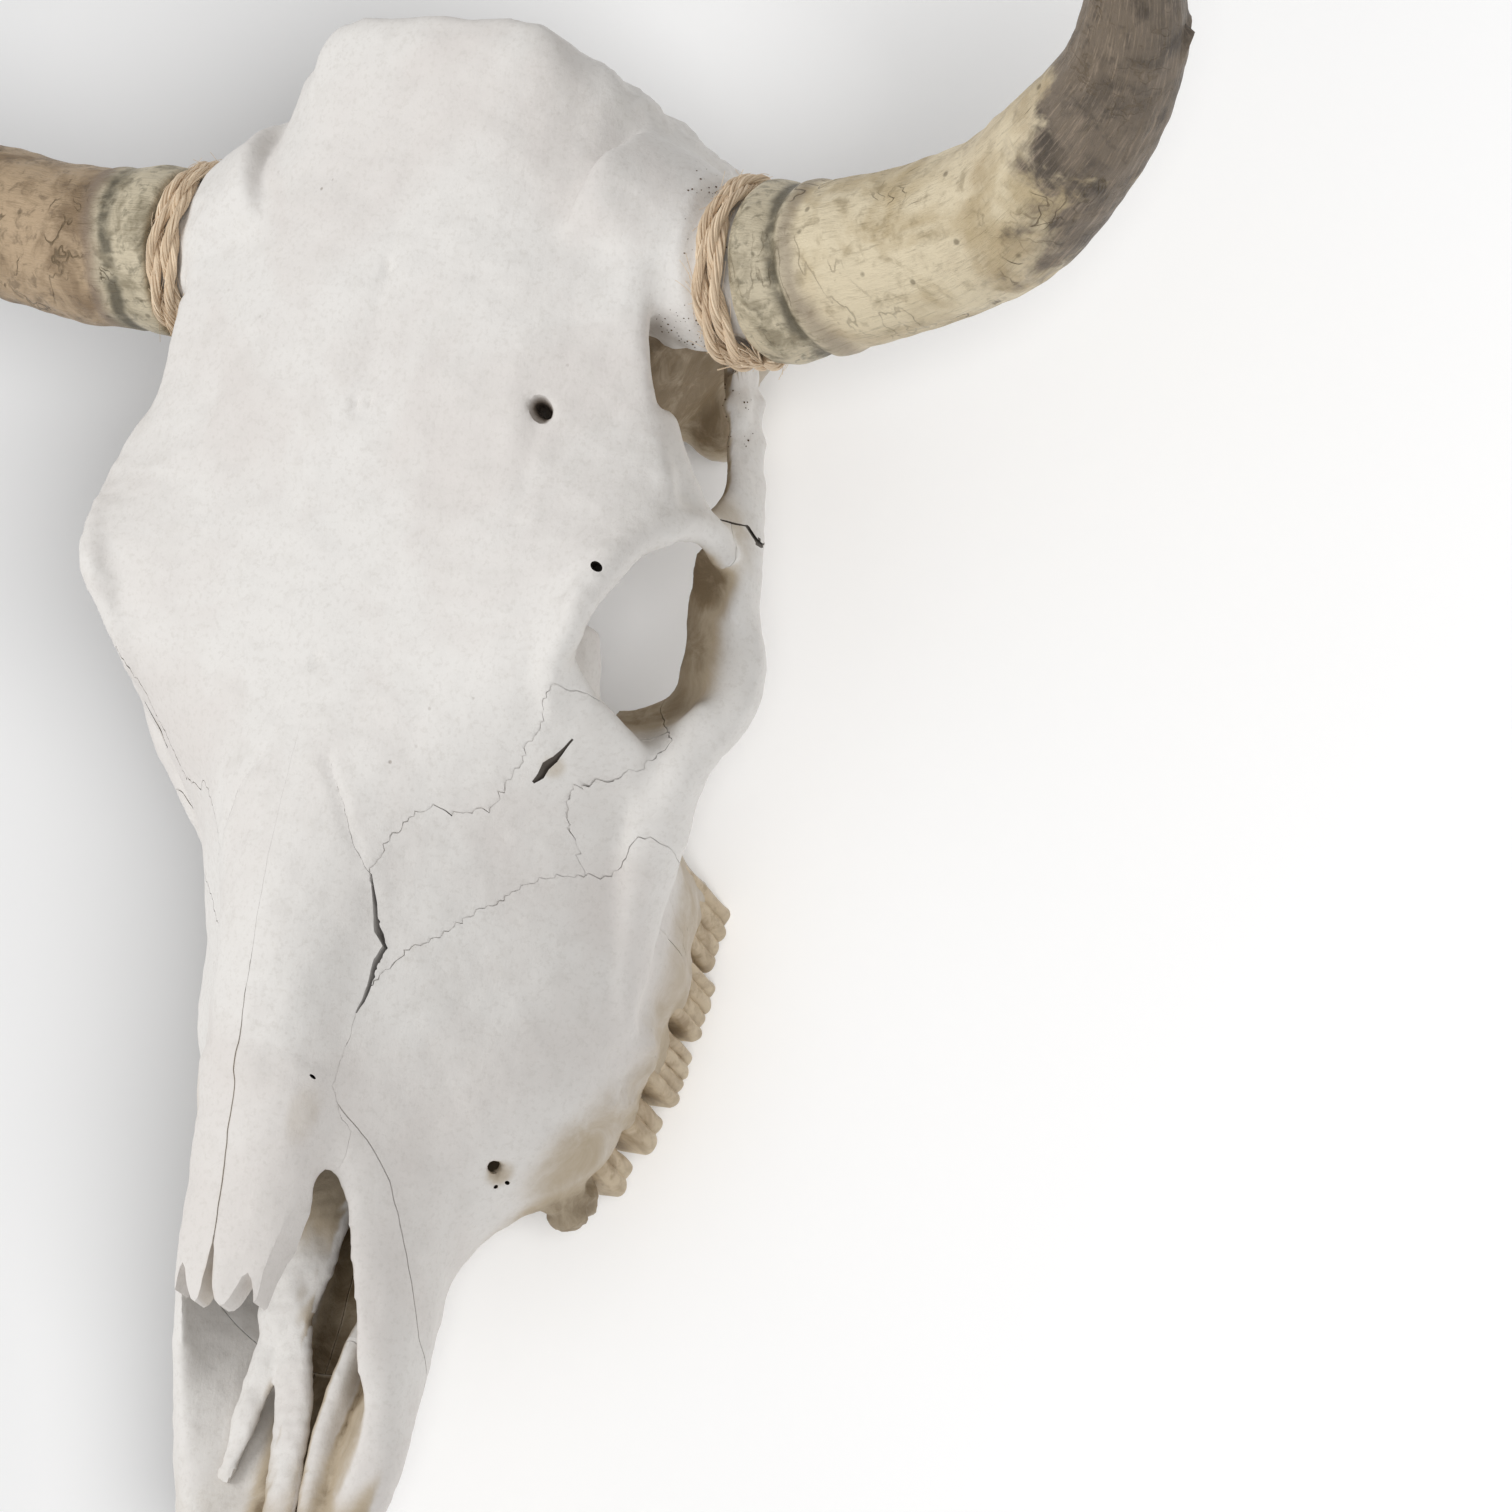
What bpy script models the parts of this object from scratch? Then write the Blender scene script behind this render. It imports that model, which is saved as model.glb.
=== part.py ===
"""A horned cow skull without its lower jaw, lying as it rests, with jute rope tied round the foot of each horn.

The skull is modelled whole and then parted along its sutures into named bones. Working coordinates are in
millimetres: x to the animal's left, a back from the muzzle tip, z up from the chewing surface of the teeth.
"""

import bmesh
import bpy
import numpy as np
from mathutils import Matrix, Vector

MM = 0.001

# Driving dimensions, in millimetres.
SKULL_LENGTH = 495.0
WALL = 5.5
VOMER_THICKNESS = 4.4
GAP = 0.4
COARSE_VOXEL = 3.0
FINE_VOXEL = 2.6
VOMER_VOXEL = 1.8
SKULL_TRIANGLES = 3760
VOMER_TRIANGLES = 420
TUBE_SIDES = 14
TUBE_STEPS = 3
BONE = (0.80, 0.78, 0.74)
HORN = (0.36, 0.30, 0.20)
JUTE = (0.62, 0.50, 0.34)
ROPE_WIDTH = 15.0
ROPE_RADIUS = 30.5
CORE_RADIUS = 25.0
SHEATH_START = 13.0  # from the first point of each horn's path
REST_PIVOT = (0.0, 282.0, 0.0)  # under the last molars
REST_TILT = 12.2  # degrees that the back sinks until the occipital condyles touch down
REST_PLACE = (0.0, -10.1, -1.5)

# Half sections of the main body, from the midline above to the midline below: (a, [(x, z), ...]).
BODY = [
    (2, [(0, 37), (6, 37), (11, 36), (14, 34), (15, 33), (15, 32), (14, 30), (12, 29), (7, 29), (0, 30)]),
    (14, [(0, 41), (10, 41), (19, 40), (26, 37), (30, 34), (30, 32), (28, 30), (23, 28), (12, 28), (0, 29)]),
    (38, [(0, 47), (15, 47), (25, 47), (33, 44), (39, 40), (40, 35), (38, 31), (32, 28), (16, 28), (0, 29)]),
    (62, [(0, 57), (16, 57), (28, 57), (36, 54), (43, 49), (45, 42), (42, 34), (34, 28), (16, 28), (0, 30)]),
    (82, [(0, 69), (17, 69), (30, 69), (38, 66), (44, 60), (46, 51), (43, 38), (34, 28), (16, 28), (0, 31)]),
    (104, [(0, 82), (17, 82), (30, 82), (37, 80), (44, 71), (46, 57), (42, 41), (32, 28), (16, 28), (0, 32)]),
    (125, [(0, 94), (16, 94), (26, 94), (33, 91), (42, 79), (46, 62), (41, 42), (31, 28), (18, 28), (0, 33)]),
    (140, [(0, 104), (14, 104), (24, 104), (29, 101), (39, 89), (47, 72), (47, 46), (38, 29), (25, 28), (0, 33)]),
    (150, [(0, 130), (12, 126), (20, 118), (27, 107), (40, 90), (50, 71), (52, 46), (46, 26), (34, 26), (0, 34)]),
    (165, [(0, 135), (13, 131), (21, 123), (28, 112), (43, 94), (58, 73), (65, 51), (64, 22), (42, 26), (0, 34)]),
    (185, [(0, 142), (14, 138), (22, 130), (28, 119), (48, 99), (66, 77), (75, 52), (71, 20), (45, 26), (0, 34)]),
    (205, [(0, 148), (15, 144), (25, 135), (32, 123), (51, 103), (69, 79), (79, 50), (73, 20), (46, 26), (0, 34)]),
    (225, [(0, 153), (16, 150), (28, 143), (37, 131), (57, 109), (72, 86), (80, 54), (74, 20), (47, 26), (0, 34)]),
    (245, [(0, 157), (18, 155), (33, 149), (47, 138), (64, 119), (77, 94), (81, 62), (74, 20), (47, 26), (0, 34)]),
    (265, [(0, 160), (20, 159), (39, 156), (61, 148), (78, 130), (87, 102), (81, 66), (72, 20), (46, 27), (0, 34)]),
    (285, [(0, 164), (24, 163), (48, 161), (76, 156), (92, 140), (98, 110), (76, 72), (62, 28), (44, 28), (0, 35)]),
    (300, [(0, 168), (28, 167), (57, 165), (85, 160), (86, 150), (60, 122), (50, 90), (42, 56), (34, 42), (0, 52)]),
    (320, [(0, 173), (32, 172), (64, 170), (94, 164), (93, 156), (56, 136), (42, 98), (32, 76), (24, 62), (0, 70)]),
    (340, [(0, 178), (34, 177), (70, 174), (106, 160), (105, 151), (54, 136), (42, 106), (33, 88), (22, 74), (0, 72)]),
    (355, [(0, 183), (34, 182), (68, 178), (107, 161), (103, 151), (52, 136), (42, 106), (34, 88), (22, 72), (0, 68)]),
    (375, [(0, 190), (34, 189), (66, 184), (100, 170), (92, 160), (50, 138), (44, 108), (36, 86), (24, 68), (0, 62)]),
    (395, [(0, 195), (34, 194), (64, 189), (96, 180), (84, 167), (52, 142), (47, 112), (38, 88), (24, 68), (0, 58)]),
    (415, [(0, 200), (34, 199), (64, 193), (93, 185), (76, 165), (58, 142), (55, 112), (45, 84), (26, 62), (0, 54)]),
    (440, [(0, 206), (34, 204), (62, 197), (86, 182), (84, 152), (73, 136), (68, 110), (55, 80), (30, 58), (0, 52)]),
    (462, [(0, 213), (38, 210), (60, 197), (80, 178), (90, 152), (90, 132), (86, 108), (66, 80), (32, 56), (0, 52)]),
    (480, [(0, 219), (42, 215), (56, 202), (72, 184), (84, 160), (90, 132), (84, 104), (60, 78), (32, 58), (0, 54)]),
    (491, [(0, 220), (36, 217), (48, 204), (62, 182), (74, 156), (78, 128), (68, 102), (48, 80), (28, 64), (0, 62)]),
]
LEAN_FROM = 440.0
NUCHAL_LEAN = 26.0

# The nasal cavity, narrower than the body by its wall: (a, [(x, z), ...]), with an open top in front.
CAVITY = [
    (-8, [(0, 90), (4, 90), (7, 90), (9, 60), (9, 42), (8, 36), (6, 34), (0, 34)]),
    (14, [(0, 92), (10, 92), (14, 90), (18, 60), (20, 44), (19, 37), (15, 34), (0, 34)]),
    (38, [(0, 95), (18, 95), (25, 90), (27, 64), (29, 44), (28, 37), (23, 34), (0, 34)]),
    (62, [(0, 98), (23, 98), (30, 92), (31, 66), (35, 50), (36, 41), (28, 35), (0, 35)]),
    (82, [(0, 104), (24, 104), (32, 96), (33, 74), (37, 58), (37, 44), (29, 35), (0, 35)]),
    (104, [(0, 112), (24, 112), (32, 104), (33, 84), (38, 68), (38, 50), (30, 34), (0, 35)]),
    (125, [(0, 120), (20, 118), (28, 108), (30, 88), (36, 74), (38, 56), (32, 37), (0, 38)]),
    (140, [(0, 121), (16, 113), (22, 104), (25, 94), (35, 80), (41, 64), (38, 38), (0, 38)]),
    (165, [(0, 129), (14, 122), (21, 110), (36, 91), (51, 71), (57, 52), (46, 38), (0, 39)]),
    (205, [(0, 142), (16, 136), (25, 122), (45, 102), (62, 80), (66, 54), (46, 38), (0, 39)]),
    (245, [(0, 149), (18, 145), (36, 132), (54, 114), (64, 90), (60, 60), (42, 40), (0, 40)]),
    (262, [(0, 142), (12, 138), (24, 126), (38, 110), (46, 90), (42, 66), (30, 46), (0, 46)]),
]

# The front of the nasal bones, a vault that hangs free over the opening: (a, crown z, half width, drop).
NASAL_VAULT = [(83, 104, 21, 10), (92, 107, 22, 12), (108, 113, 23, 15), (128, 121, 24, 18), (160, 133, 26, 23)]
NASAL_NOTCH = [(9.5, 70), (11.5, 90), (13.5, 97), (15.5, 90), (16.5, 70)]
NASAL_CLEFT = [(-4, 70), (-1.8, 88), (0, 104), (1.8, 88), (4, 70)]
NOTCH_LEVELS = (80, 130)
VAULT_EDGE = 2.5  # thickness of the vault at its free edges

# Tubes: points (x, a, z) of the path of each.
ORBIT_RIM = [
    (80, 283, 138), (83, 290, 150), (87, 301, 156), (90, 312, 158), (94, 322, 158), (100, 334, 157), (107, 343, 152),
    (111, 349, 143), (114, 349, 133), (117, 344, 126),
]
# The orbit's side and floor: from the inner edge to the ridge of the margin, from the back round to the front.
ORBIT_WALL = [
    ((98, 351, 125), (112, 351, 131)), ((94, 340, 114), (115, 343, 124)), ((93, 333, 110), (117, 335, 118)),
    ((93, 322, 106), (120, 325, 112)), ((94, 314, 106), (121, 318, 110)), ((88, 309, 101), (121, 308, 109)),
    ((80, 304, 101), (117, 297, 109)), ((75, 302, 103), (110, 288, 110)), ((73, 303, 105), (100, 284, 111)),
    ((71, 306, 110), (88, 284, 116)), ((71, 309, 118), (82, 288, 124)), ((74, 308, 130), (80, 293, 136)),
]
WALL_THICKNESS = 6.0
MARGIN = ((5.0, -5.0), (1.5, -16.0))  # the cheekbone outside the ridge: how far out and up, twice
CHEEK = [(73, 196, 50), (77, 222, 53), (82, 250, 68), (91, 268, 84), (104, 284, 99), (115, 304, 104)]
ARCH = [(118, 330, 111), (114, 352, 116), (105, 384, 120), (98, 408, 126), (90, 430, 132), (78, 446, 132)]
CORE = [(62, 444, 172), (80, 438, 167), (98, 432, 162.5), (130, 433.5, 160)]
CORE_RADII = [32.0, 29.0, 27.5, 26.5]
# Thin processes of the muzzle's floor: path and radii.
PALATAL_BARS = [
    ([(18, 16, 35), (17, 39, 38), (15.5, 59, 40), (14.5, 79, 42), (16, 95, 44), (24, 109, 49), (35, 122, 54)],
     [5, 5.5, 6, 6, 5.5, 5, 5]),
]
VOMER_BAR = [
    (-9, 90, 49), (-11, 100, 50.5), (-8, 118, 54), (-5, 132, 57), (-2, 150, 60), (0, 185, 64), (0, 225, 66), (0, 256, 68),
]
VOMER_BAR_RADII = [4.4, 5.6, 5.2, 4.6, 4.0, 3.5, 3.5, 3.5]
VOMER_BAR_FLATNESS = 1.25
VOMER_LEG_FLATNESS = 1.8
BAR_FLATNESS = 0.75
# The two blades that the front of the vomer ends in: path and half heights.
VOMER_LEGS = [
    ([(-6, 96, 47.5), (-1, 77, 45.5), (4, 55, 43.5), (6.5, 38, 42), (7.5, 22, 41)], [3.8, 3.6, 3.1, 2.9, 2.3]),
    ([(-13, 98, 48), (-15.5, 76, 46), (-16.5, 60, 44), (-19, 44, 41.5)], [3.4, 3.0, 2.6, 1.6]),
]
VOMER_PLATE = [(128, 60), (258, 68), (258, 46), (215, 42), (170, 41.5), (150, 44)]
JUGULAR = [(50, 450, 92), (50, 452, 72), (47, 452, 56)]
PTERYGOID = [(40, 282, 34), (34, 300, 48), (29, 320, 62), (26, 345, 72)]

# Tubes on each side of the skull: (name, path, radii, thickness over height).
SIDE_TUBES = [
    ("rim", ORBIT_RIM, [5.0, 5.5, 5.5, 5.5, 5.5, 5.5, 6.0, 6.0, 6.0, 5.5], 0.95),
    ("cheek", CHEEK, [5, 8, 10, 12, 10, 8], 0.9),
    ("arch", ARCH, [8, 9, 10.5, 10.5, 12, 12], 0.42),
    ("core", CORE, CORE_RADII, 1.0),
    ("jugular", JUGULAR, [15, 11, 7], 0.8),
    ("pterygoid", PTERYGOID, [9, 10, 11, 10], 0.5),
]
# Knobs on each side: (name, centre, half widths). The socket knob stands where the first cheek tooth was lost.
SIDE_BALLS = [
    ("condyle", (26, 474, 62), (18, 19, 23)),
    ("bulla", (41, 434, 58), (12, 17, 16)),
    ("socket", (55, 164, 13), (9, 11, 10)),
]
# Round holes on each side: (name, centre, direction, radius, depth).
SIDE_HOLES = [
    ("supraorbital", (65, 369, 180), (0.4, -0.2, 1.0), 4.4, 30),
    ("infraorbital", (56, 158, 61), (1.0, -0.6, 0.5), 3.4, 30),
    ("ear_hole", (84, 438, 104), (1.0, 0.0, 0.1), 5.0, 40),
]
FORAMEN_MAGNUM = ((0, 482, 86), (0, 1, 0.1), 16, 70)

# Horns: the middle of the foot under the rope, then the path; the two horns grew a little apart.
HORN_LEFT = [
    (108, 431.5, 160.5), (122, 432.5, 160), (142, 434, 162), (158, 435.5, 165), (181, 440, 168), (207, 447, 175),
    (226, 456, 185), (245, 467, 199), (259, 477.5, 212), (270, 486, 229), (278, 493, 248), (282, 499, 268),
    (283, 503, 288), (281, 506, 305),
]
HORN_RIGHT = [
    (108, 431, 162), (122, 430, 164), (138, 429.5, 166), (152, 429, 168.5), (170, 430.5, 171), (193, 433.5, 176.5),
    (213, 436, 185), (233, 441, 197), (251, 448, 211), (266, 455, 228), (276, 461, 247), (282, 466, 267),
    (284.5, 470, 287), (284, 473, 303),
]
HORN_RADII = [28.6, 28.6, 27.8, 26.8, 25.6, 24.8, 23.2, 20.8, 18.4, 16.2, 13.0, 9.4, 5.6, 2.2]

# Upper cheek teeth, front to back: (a of the front, length, outer x, inner x).
TEETH = [(174, 15, 66, 44), (190, 16, 72, 48), (207, 23, 75, 49), (231, 24, 75, 49), (256, 26, 71, 46)]
TOOTH_TOP = 34.0
TOOTH_FOOT = -2.0  # below the chewing surface, which the ground then cuts flat
TOOTH_GAP = 2.2
TOOTH_BEVEL = 2.5

# Sutures in plan, (x, a), and the level each bone reaches down to inside the skull.
NASAL_PLAN = [
    (0, 269), (4, 270), (8, 266), (12, 259), (16, 248), (21, 240), (25, 229), (30, 222), (31, 214), (33, 204),
    (30, 191), (28, 182), (26, 158), (28, 150), (38, 140), (38, 70), (0, 70),
]
LACRIMAL_PLAN = [
    (30, 222), (34, 231), (38, 238), (42, 243), (47, 247), (51, 246), (62, 251), (69, 260), (76, 269), (86, 285),
    (97, 296), (104, 292), (97, 277), (90, 271), (82, 264), (79, 259), (77, 247), (73, 243), (65, 236), (60, 229),
    (53, 222), (44, 211), (38, 205), (30, 191), (33, 204), (31, 214),
]
CHEEKBONE_PLAN = [
    (77, 247), (87, 255), (94, 262), (150, 268), (150, 357), (84, 357), (84, 330), (92, 302), (104, 292), (97, 277),
    (90, 271), (82, 264), (79, 259),
]
CHEEKBONE_TOP = 134.0
PREMAXILLA_SPLIT = -4.0  # x where the palate parts between the two premaxillae
BEYOND = 120.0
MAXILLA_PLAN = [(0, 286), (150, 286), (150, 60), (0, 60)]
PREMAXILLA_SIDE = [
    (-20, -40), (72, -40), (84, 30), (98, 54), (118, 71), (138, 87), (147, 98), (156, 114), (137, 104), (103, 88),
    (-20, 88),
]


REST = Matrix.Rotation(np.radians(-REST_TILT), 3, "X")


def nasal_floor(x, a):
    return 84 + 0.30 * (a - 85)


def lacrimal_floor(x, a):
    return 95 - 0.9 * (x - 30) + 0.35 * (a - 220)


def maxilla_ceiling(x, a):
    return 143 - 0.45 * x + 0.15 * (a - 222)


def place(point):
    """World position, in metres, of a point (x, a, z) in millimetres, as the skull rests on its last molars."""
    return REST @ (Vector(point) - Vector(REST_PIVOT)) * MM + Vector(REST_PLACE) * MM


def smooth_through(points, steps, closed=False):
    """Catmull-Rom points through the given ones, along the first axis of the array."""
    points = np.asarray(points, float)
    if closed:
        padded = np.concatenate([points[-1:], points, points[:2]])
    else:
        padded = np.concatenate([2 * points[:1] - points[1:2], points, 2 * points[-1:] - points[-2:-1]])
    found = []
    for i in range(len(padded) - 3):
        p0, p1, p2, p3 = padded[i : i + 4]
        for t in np.arange(steps) / steps:
            found.append(
                0.5 * (2 * p1 + (p2 - p0) * t + (2 * p0 - 5 * p1 + 4 * p2 - p3) * t**2
                       + (3 * p1 - p0 - 3 * p2 + p3) * t**3)
            )
    if not closed:
        found.append(points[-1])
    return np.array(found)


def new_object(name, mesh, collection):
    obj = bpy.data.objects.new(name, mesh)
    collection.objects.link(obj)
    return obj


def object_from(name, bm, collection):
    bmesh.ops.recalc_face_normals(bm, faces=bm.faces)
    mesh = bpy.data.meshes.new(name)
    bm.to_mesh(mesh)
    bm.free()
    return new_object(name, mesh, collection)


def skin(name, rings, collection):
    """A solid whose surface runs from ring to ring, with flat ends."""
    bm = bmesh.new()
    rows = [[bm.verts.new(place(point)) for point in ring] for ring in rings]
    for row, after in zip(rows, rows[1:]):
        for i in range(len(row)):
            j = (i + 1) % len(row)
            bm.faces.new((row[i], row[j], after[j], after[i]))
    bm.faces.new(rows[0])
    bm.faces.new(rows[-1])
    return object_from(name, bm, collection)


def loft(name, stations, ring_steps, along_steps, collection):
    """A body with the same left and right, through half sections (a, [(x, z), ...])."""
    levels = smooth_through([[a] for a, _ in stations], along_steps)[:, 0]
    halves = smooth_through([half for _, half in stations], along_steps)
    rings = []
    for a, half in zip(levels, halves):
        left = np.array(half)
        right = left[-2:0:-1] * (-1, 1)
        section = smooth_through(np.concatenate([left, right]), ring_steps, closed=True)
        lean = NUCHAL_LEAN * max(0.0, a - LEAN_FROM) / (SKULL_LENGTH - LEAN_FROM)
        rings.append([(x, a + lean * (min(z, 215) - 215) / 150, z) for x, z in section])
    return skin(name, rings, collection)


def tube(name, path, radii, flatness, collection, steps=TUBE_STEPS, side=1):
    """A curve with a round or oval bevel through the path; flatness is thickness over height."""
    points = smooth_through(path, steps)
    widths = np.interp(np.linspace(0, 1, len(points)), np.linspace(0, 1, len(radii)), radii)
    oval = bpy.data.curves.new("oval", "CURVE")
    oval.dimensions = "2D"
    outline = oval.splines.new("POLY")
    angles = np.linspace(0, 2 * np.pi, TUBE_SIDES, endpoint=False)
    outline.points.add(len(angles) - 1)
    for point, angle in zip(outline.points, angles):
        point.co = (np.cos(angle) * flatness * MM, np.sin(angle) * MM, 0, 1)
    outline.use_cyclic_u = True
    oval_object = new_object("oval", oval, collection)
    curve = bpy.data.curves.new(name, "CURVE")
    curve.dimensions = "3D"
    curve.bevel_mode = "OBJECT"
    curve.bevel_object = oval_object
    curve.use_fill_caps = True
    curve.twist_mode = "Z_UP"
    spline = curve.splines.new("POLY")
    spline.points.add(len(points) - 1)
    for target, (x, a, z), width in zip(spline.points, points, widths):
        target.co = (*place((side * x, a, z)), 1)
        target.radius = width
    guide = new_object(name + "_guide", curve, collection)
    bpy.context.view_layer.update()
    mesh = bpy.data.meshes.new_from_object(guide.evaluated_get(bpy.context.evaluated_depsgraph_get()))
    bm = bmesh.new()
    bm.from_mesh(mesh)
    bmesh.ops.remove_doubles(bm, verts=bm.verts, dist=0.00001)
    bpy.data.objects.remove(guide)
    bpy.data.objects.remove(oval_object)
    bpy.data.meshes.remove(mesh)
    return object_from(name, bm, collection)


def ball(name, centre, radii, collection):
    bm = bmesh.new()
    bmesh.ops.create_uvsphere(bm, u_segments=20, v_segments=12, radius=MM)
    bmesh.ops.scale(bm, vec=radii, verts=bm.verts)
    bmesh.ops.rotate(bm, cent=(0, 0, 0), matrix=REST, verts=bm.verts)
    bmesh.ops.translate(bm, vec=place(centre), verts=bm.verts)
    return object_from(name, bm, collection)


def box(name, low, high, collection, bevel):
    """A block between two corners (x, a, z), with rounded edges."""
    size = np.subtract(high, low) * MM
    bm = bmesh.new()
    bmesh.ops.create_cube(bm, size=1)
    bmesh.ops.scale(bm, vec=size, verts=bm.verts)
    bmesh.ops.bevel(bm, geom=bm.edges, offset=bevel * MM, segments=2, affect="EDGES")
    bmesh.ops.rotate(bm, cent=(0, 0, 0), matrix=REST, verts=bm.verts)
    bmesh.ops.translate(bm, vec=place(np.add(low, high) / 2), verts=bm.verts)
    return object_from(name, bm, collection)


def ground(collection):
    """A cutter whose top is the surface that the skull lies on."""
    bm = bmesh.new()
    bmesh.ops.create_cube(bm, size=1)
    bmesh.ops.translate(bm, vec=(0, 0, -0.5), verts=bm.verts)
    return object_from("ground", bm, collection)


def drill(name, centre, toward, radius, depth, collection):
    """A round cutter through a point, along a direction."""
    bm = bmesh.new()
    bmesh.ops.create_cone(bm, cap_ends=True, segments=28, radius1=radius * MM, radius2=radius * MM, depth=depth * MM)
    turn = REST @ Vector(toward).to_track_quat("Z", "Y").to_matrix()
    bmesh.ops.rotate(bm, cent=(0, 0, 0), matrix=turn, verts=bm.verts)
    bmesh.ops.translate(bm, vec=place(centre), verts=bm.verts)
    return object_from(name, bm, collection)


def apply_modifiers(obj):
    """Replaces the object's mesh by what its modifiers make of it."""
    bpy.context.view_layer.update()
    mesh = bpy.data.meshes.new_from_object(obj.evaluated_get(bpy.context.evaluated_depsgraph_get()))
    obj.modifiers.clear()
    obj.data = mesh


def combine(obj, other, operation, solver="EXACT"):
    modifier = obj.modifiers.new(operation.title(), "BOOLEAN")
    modifier.operation = operation
    modifier.object = other
    modifier.solver = solver
    apply_modifiers(obj)


def joined(name, pieces, collection):
    """One object holding the meshes of all the pieces, which it replaces."""
    bm = bmesh.new()
    for piece in pieces:
        bm.from_mesh(piece.data)
        bpy.data.objects.remove(piece)
    mesh = bpy.data.meshes.new(name)
    bm.to_mesh(mesh)
    bm.free()
    return new_object(name, mesh, collection)


def fuse(obj, voxel, smoothing):
    """Turns overlapping solids into one smooth solid."""
    remesh = obj.modifiers.new("Remesh", "REMESH")
    remesh.mode = "VOXEL"
    remesh.voxel_size = voxel * MM
    if smoothing:
        smooth = obj.modifiers.new("Smooth", "SMOOTH")
        smooth.iterations = smoothing
        smooth.factor = 0.5
    apply_modifiers(obj)


def thin_out(obj, triangles):
    count = sum(len(face.vertices) - 2 for face in obj.data.polygons)
    decimate = obj.modifiers.new("Decimate", "DECIMATE")
    decimate.ratio = min(1.0, triangles / count)
    apply_modifiers(obj)


def keep_largest(obj):
    """Drops the crumbs that a cut leaves beside the main body."""
    bm = bmesh.new()
    bm.from_mesh(obj.data)
    left = set(bm.verts)
    islands = []
    while left:
        island = {left.pop()}
        edge = list(island)
        while edge:
            for link in edge.pop().link_edges:
                for vert in link.verts:
                    if vert in left:
                        left.remove(vert)
                        island.add(vert)
                        edge.append(vert)
        islands.append(island)
    islands.sort(key=len)
    bmesh.ops.delete(bm, geom=[vert for island in islands[:-1] for vert in island], context="VERTS")
    bm.to_mesh(obj.data)
    bm.free()


def offset_outline(points, distance):
    """The outline moved outwards by a distance, whichever way round it runs."""
    points = np.asarray(points, float)
    after = np.roll(points, -1, axis=0)
    before = np.roll(points, 1, axis=0)
    area = (points[:, 0] * after[:, 1] - after[:, 0] * points[:, 1]).sum()
    turn = np.sign(area)

    def outward(edge):
        edge = edge / np.linalg.norm(edge, axis=1, keepdims=True)
        return turn * np.stack([edge[:, 1], -edge[:, 0]], axis=1)

    first = outward(points - before)
    second = outward(after - points)
    corner = first + second
    corner /= (1 + (first * second).sum(axis=1))[:, None]
    return points + distance * corner


def plan_prism(name, outline, low, high, side, grow, collection):
    """A prism standing on a plan outline; low and high give z at (x, a)."""
    if grow:
        outline = offset_outline(outline, grow)
    outline = np.array(outline, float)
    outline[:, 0] = np.maximum(outline[:, 0], GAP / 2 - grow)
    bottom = [(side * x, a, low(x, a) - grow) for x, a in outline]
    top = [(side * x, a, high(x, a) + grow) for x, a in outline]
    return skin(name, [bottom, top], collection)


def side_prism(name, outline, inner, outer, grow, collection):
    """A prism lying along x on a side outline (a, z), from an inner x to an outer x beyond the bone."""
    if grow:
        outline = offset_outline(outline, grow)
    near = [(inner - np.sign(outer) * grow, a, z) for a, z in outline]
    far = [(outer, a, z) for a, z in outline]
    return skin(name, [near, far], collection)


def nasal_vault(collection):
    rings = []
    for a, crown, half_width, drop in smooth_through(NASAL_VAULT, 3):
        angles = np.linspace(0, np.pi, 13)
        outer = [(half_width * np.cos(t), a, crown - drop * (1 - np.sin(t))) for t in angles]
        inner = [((half_width - VAULT_EDGE) * np.cos(t), a, crown - WALL - drop * (1 - np.sin(t))) for t in angles[::-1]]
        rings.append(outer + inner)
    return skin("vault", rings, collection)


def orbit_wall(side, collection):
    """The side and floor of the eye socket, which end in the ridge of its margin."""
    rings = []
    for inner, ridge in smooth_through(ORBIT_WALL, 2):
        outward = (ridge - inner) * (1, 1, 0)
        outward /= np.linalg.norm(outward)
        outer, under = [ridge + outward * out + (0, 0, up) for out, up in MARGIN]
        ring = [inner, ridge, outer, under, inner - (0, 0, WALL_THICKNESS)]
        rings.append([point * (side, 1, 1) for point in ring])
    return skin("orbit_wall", rings, collection)


def nasal_notches(collection):
    """Cutters for the cleft between the tips of the nasal bones and for the notch in each tip."""
    cutters = []
    for outline, sides in ((NASAL_CLEFT, (1,)), (NASAL_NOTCH, (1, -1))):
        for side in sides:
            low, high = [[(side * x, a, z) for x, a in outline] for z in NOTCH_LEVELS]
            cutters.append(skin("notch", [low, high], collection))
    return cutters


def tooth_blocks(side, collection):
    blocks = []
    for front, length, outer, inner in TEETH:
        low = (side * inner, front + TOOTH_GAP / 2, TOOTH_FOOT)
        high = (side * outer, front + length - TOOTH_GAP / 2, TOOTH_TOP)
        blocks.append(box("tooth", np.minimum(low, high), np.maximum(low, high), collection, bevel=TOOTH_BEVEL))
    return blocks


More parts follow.
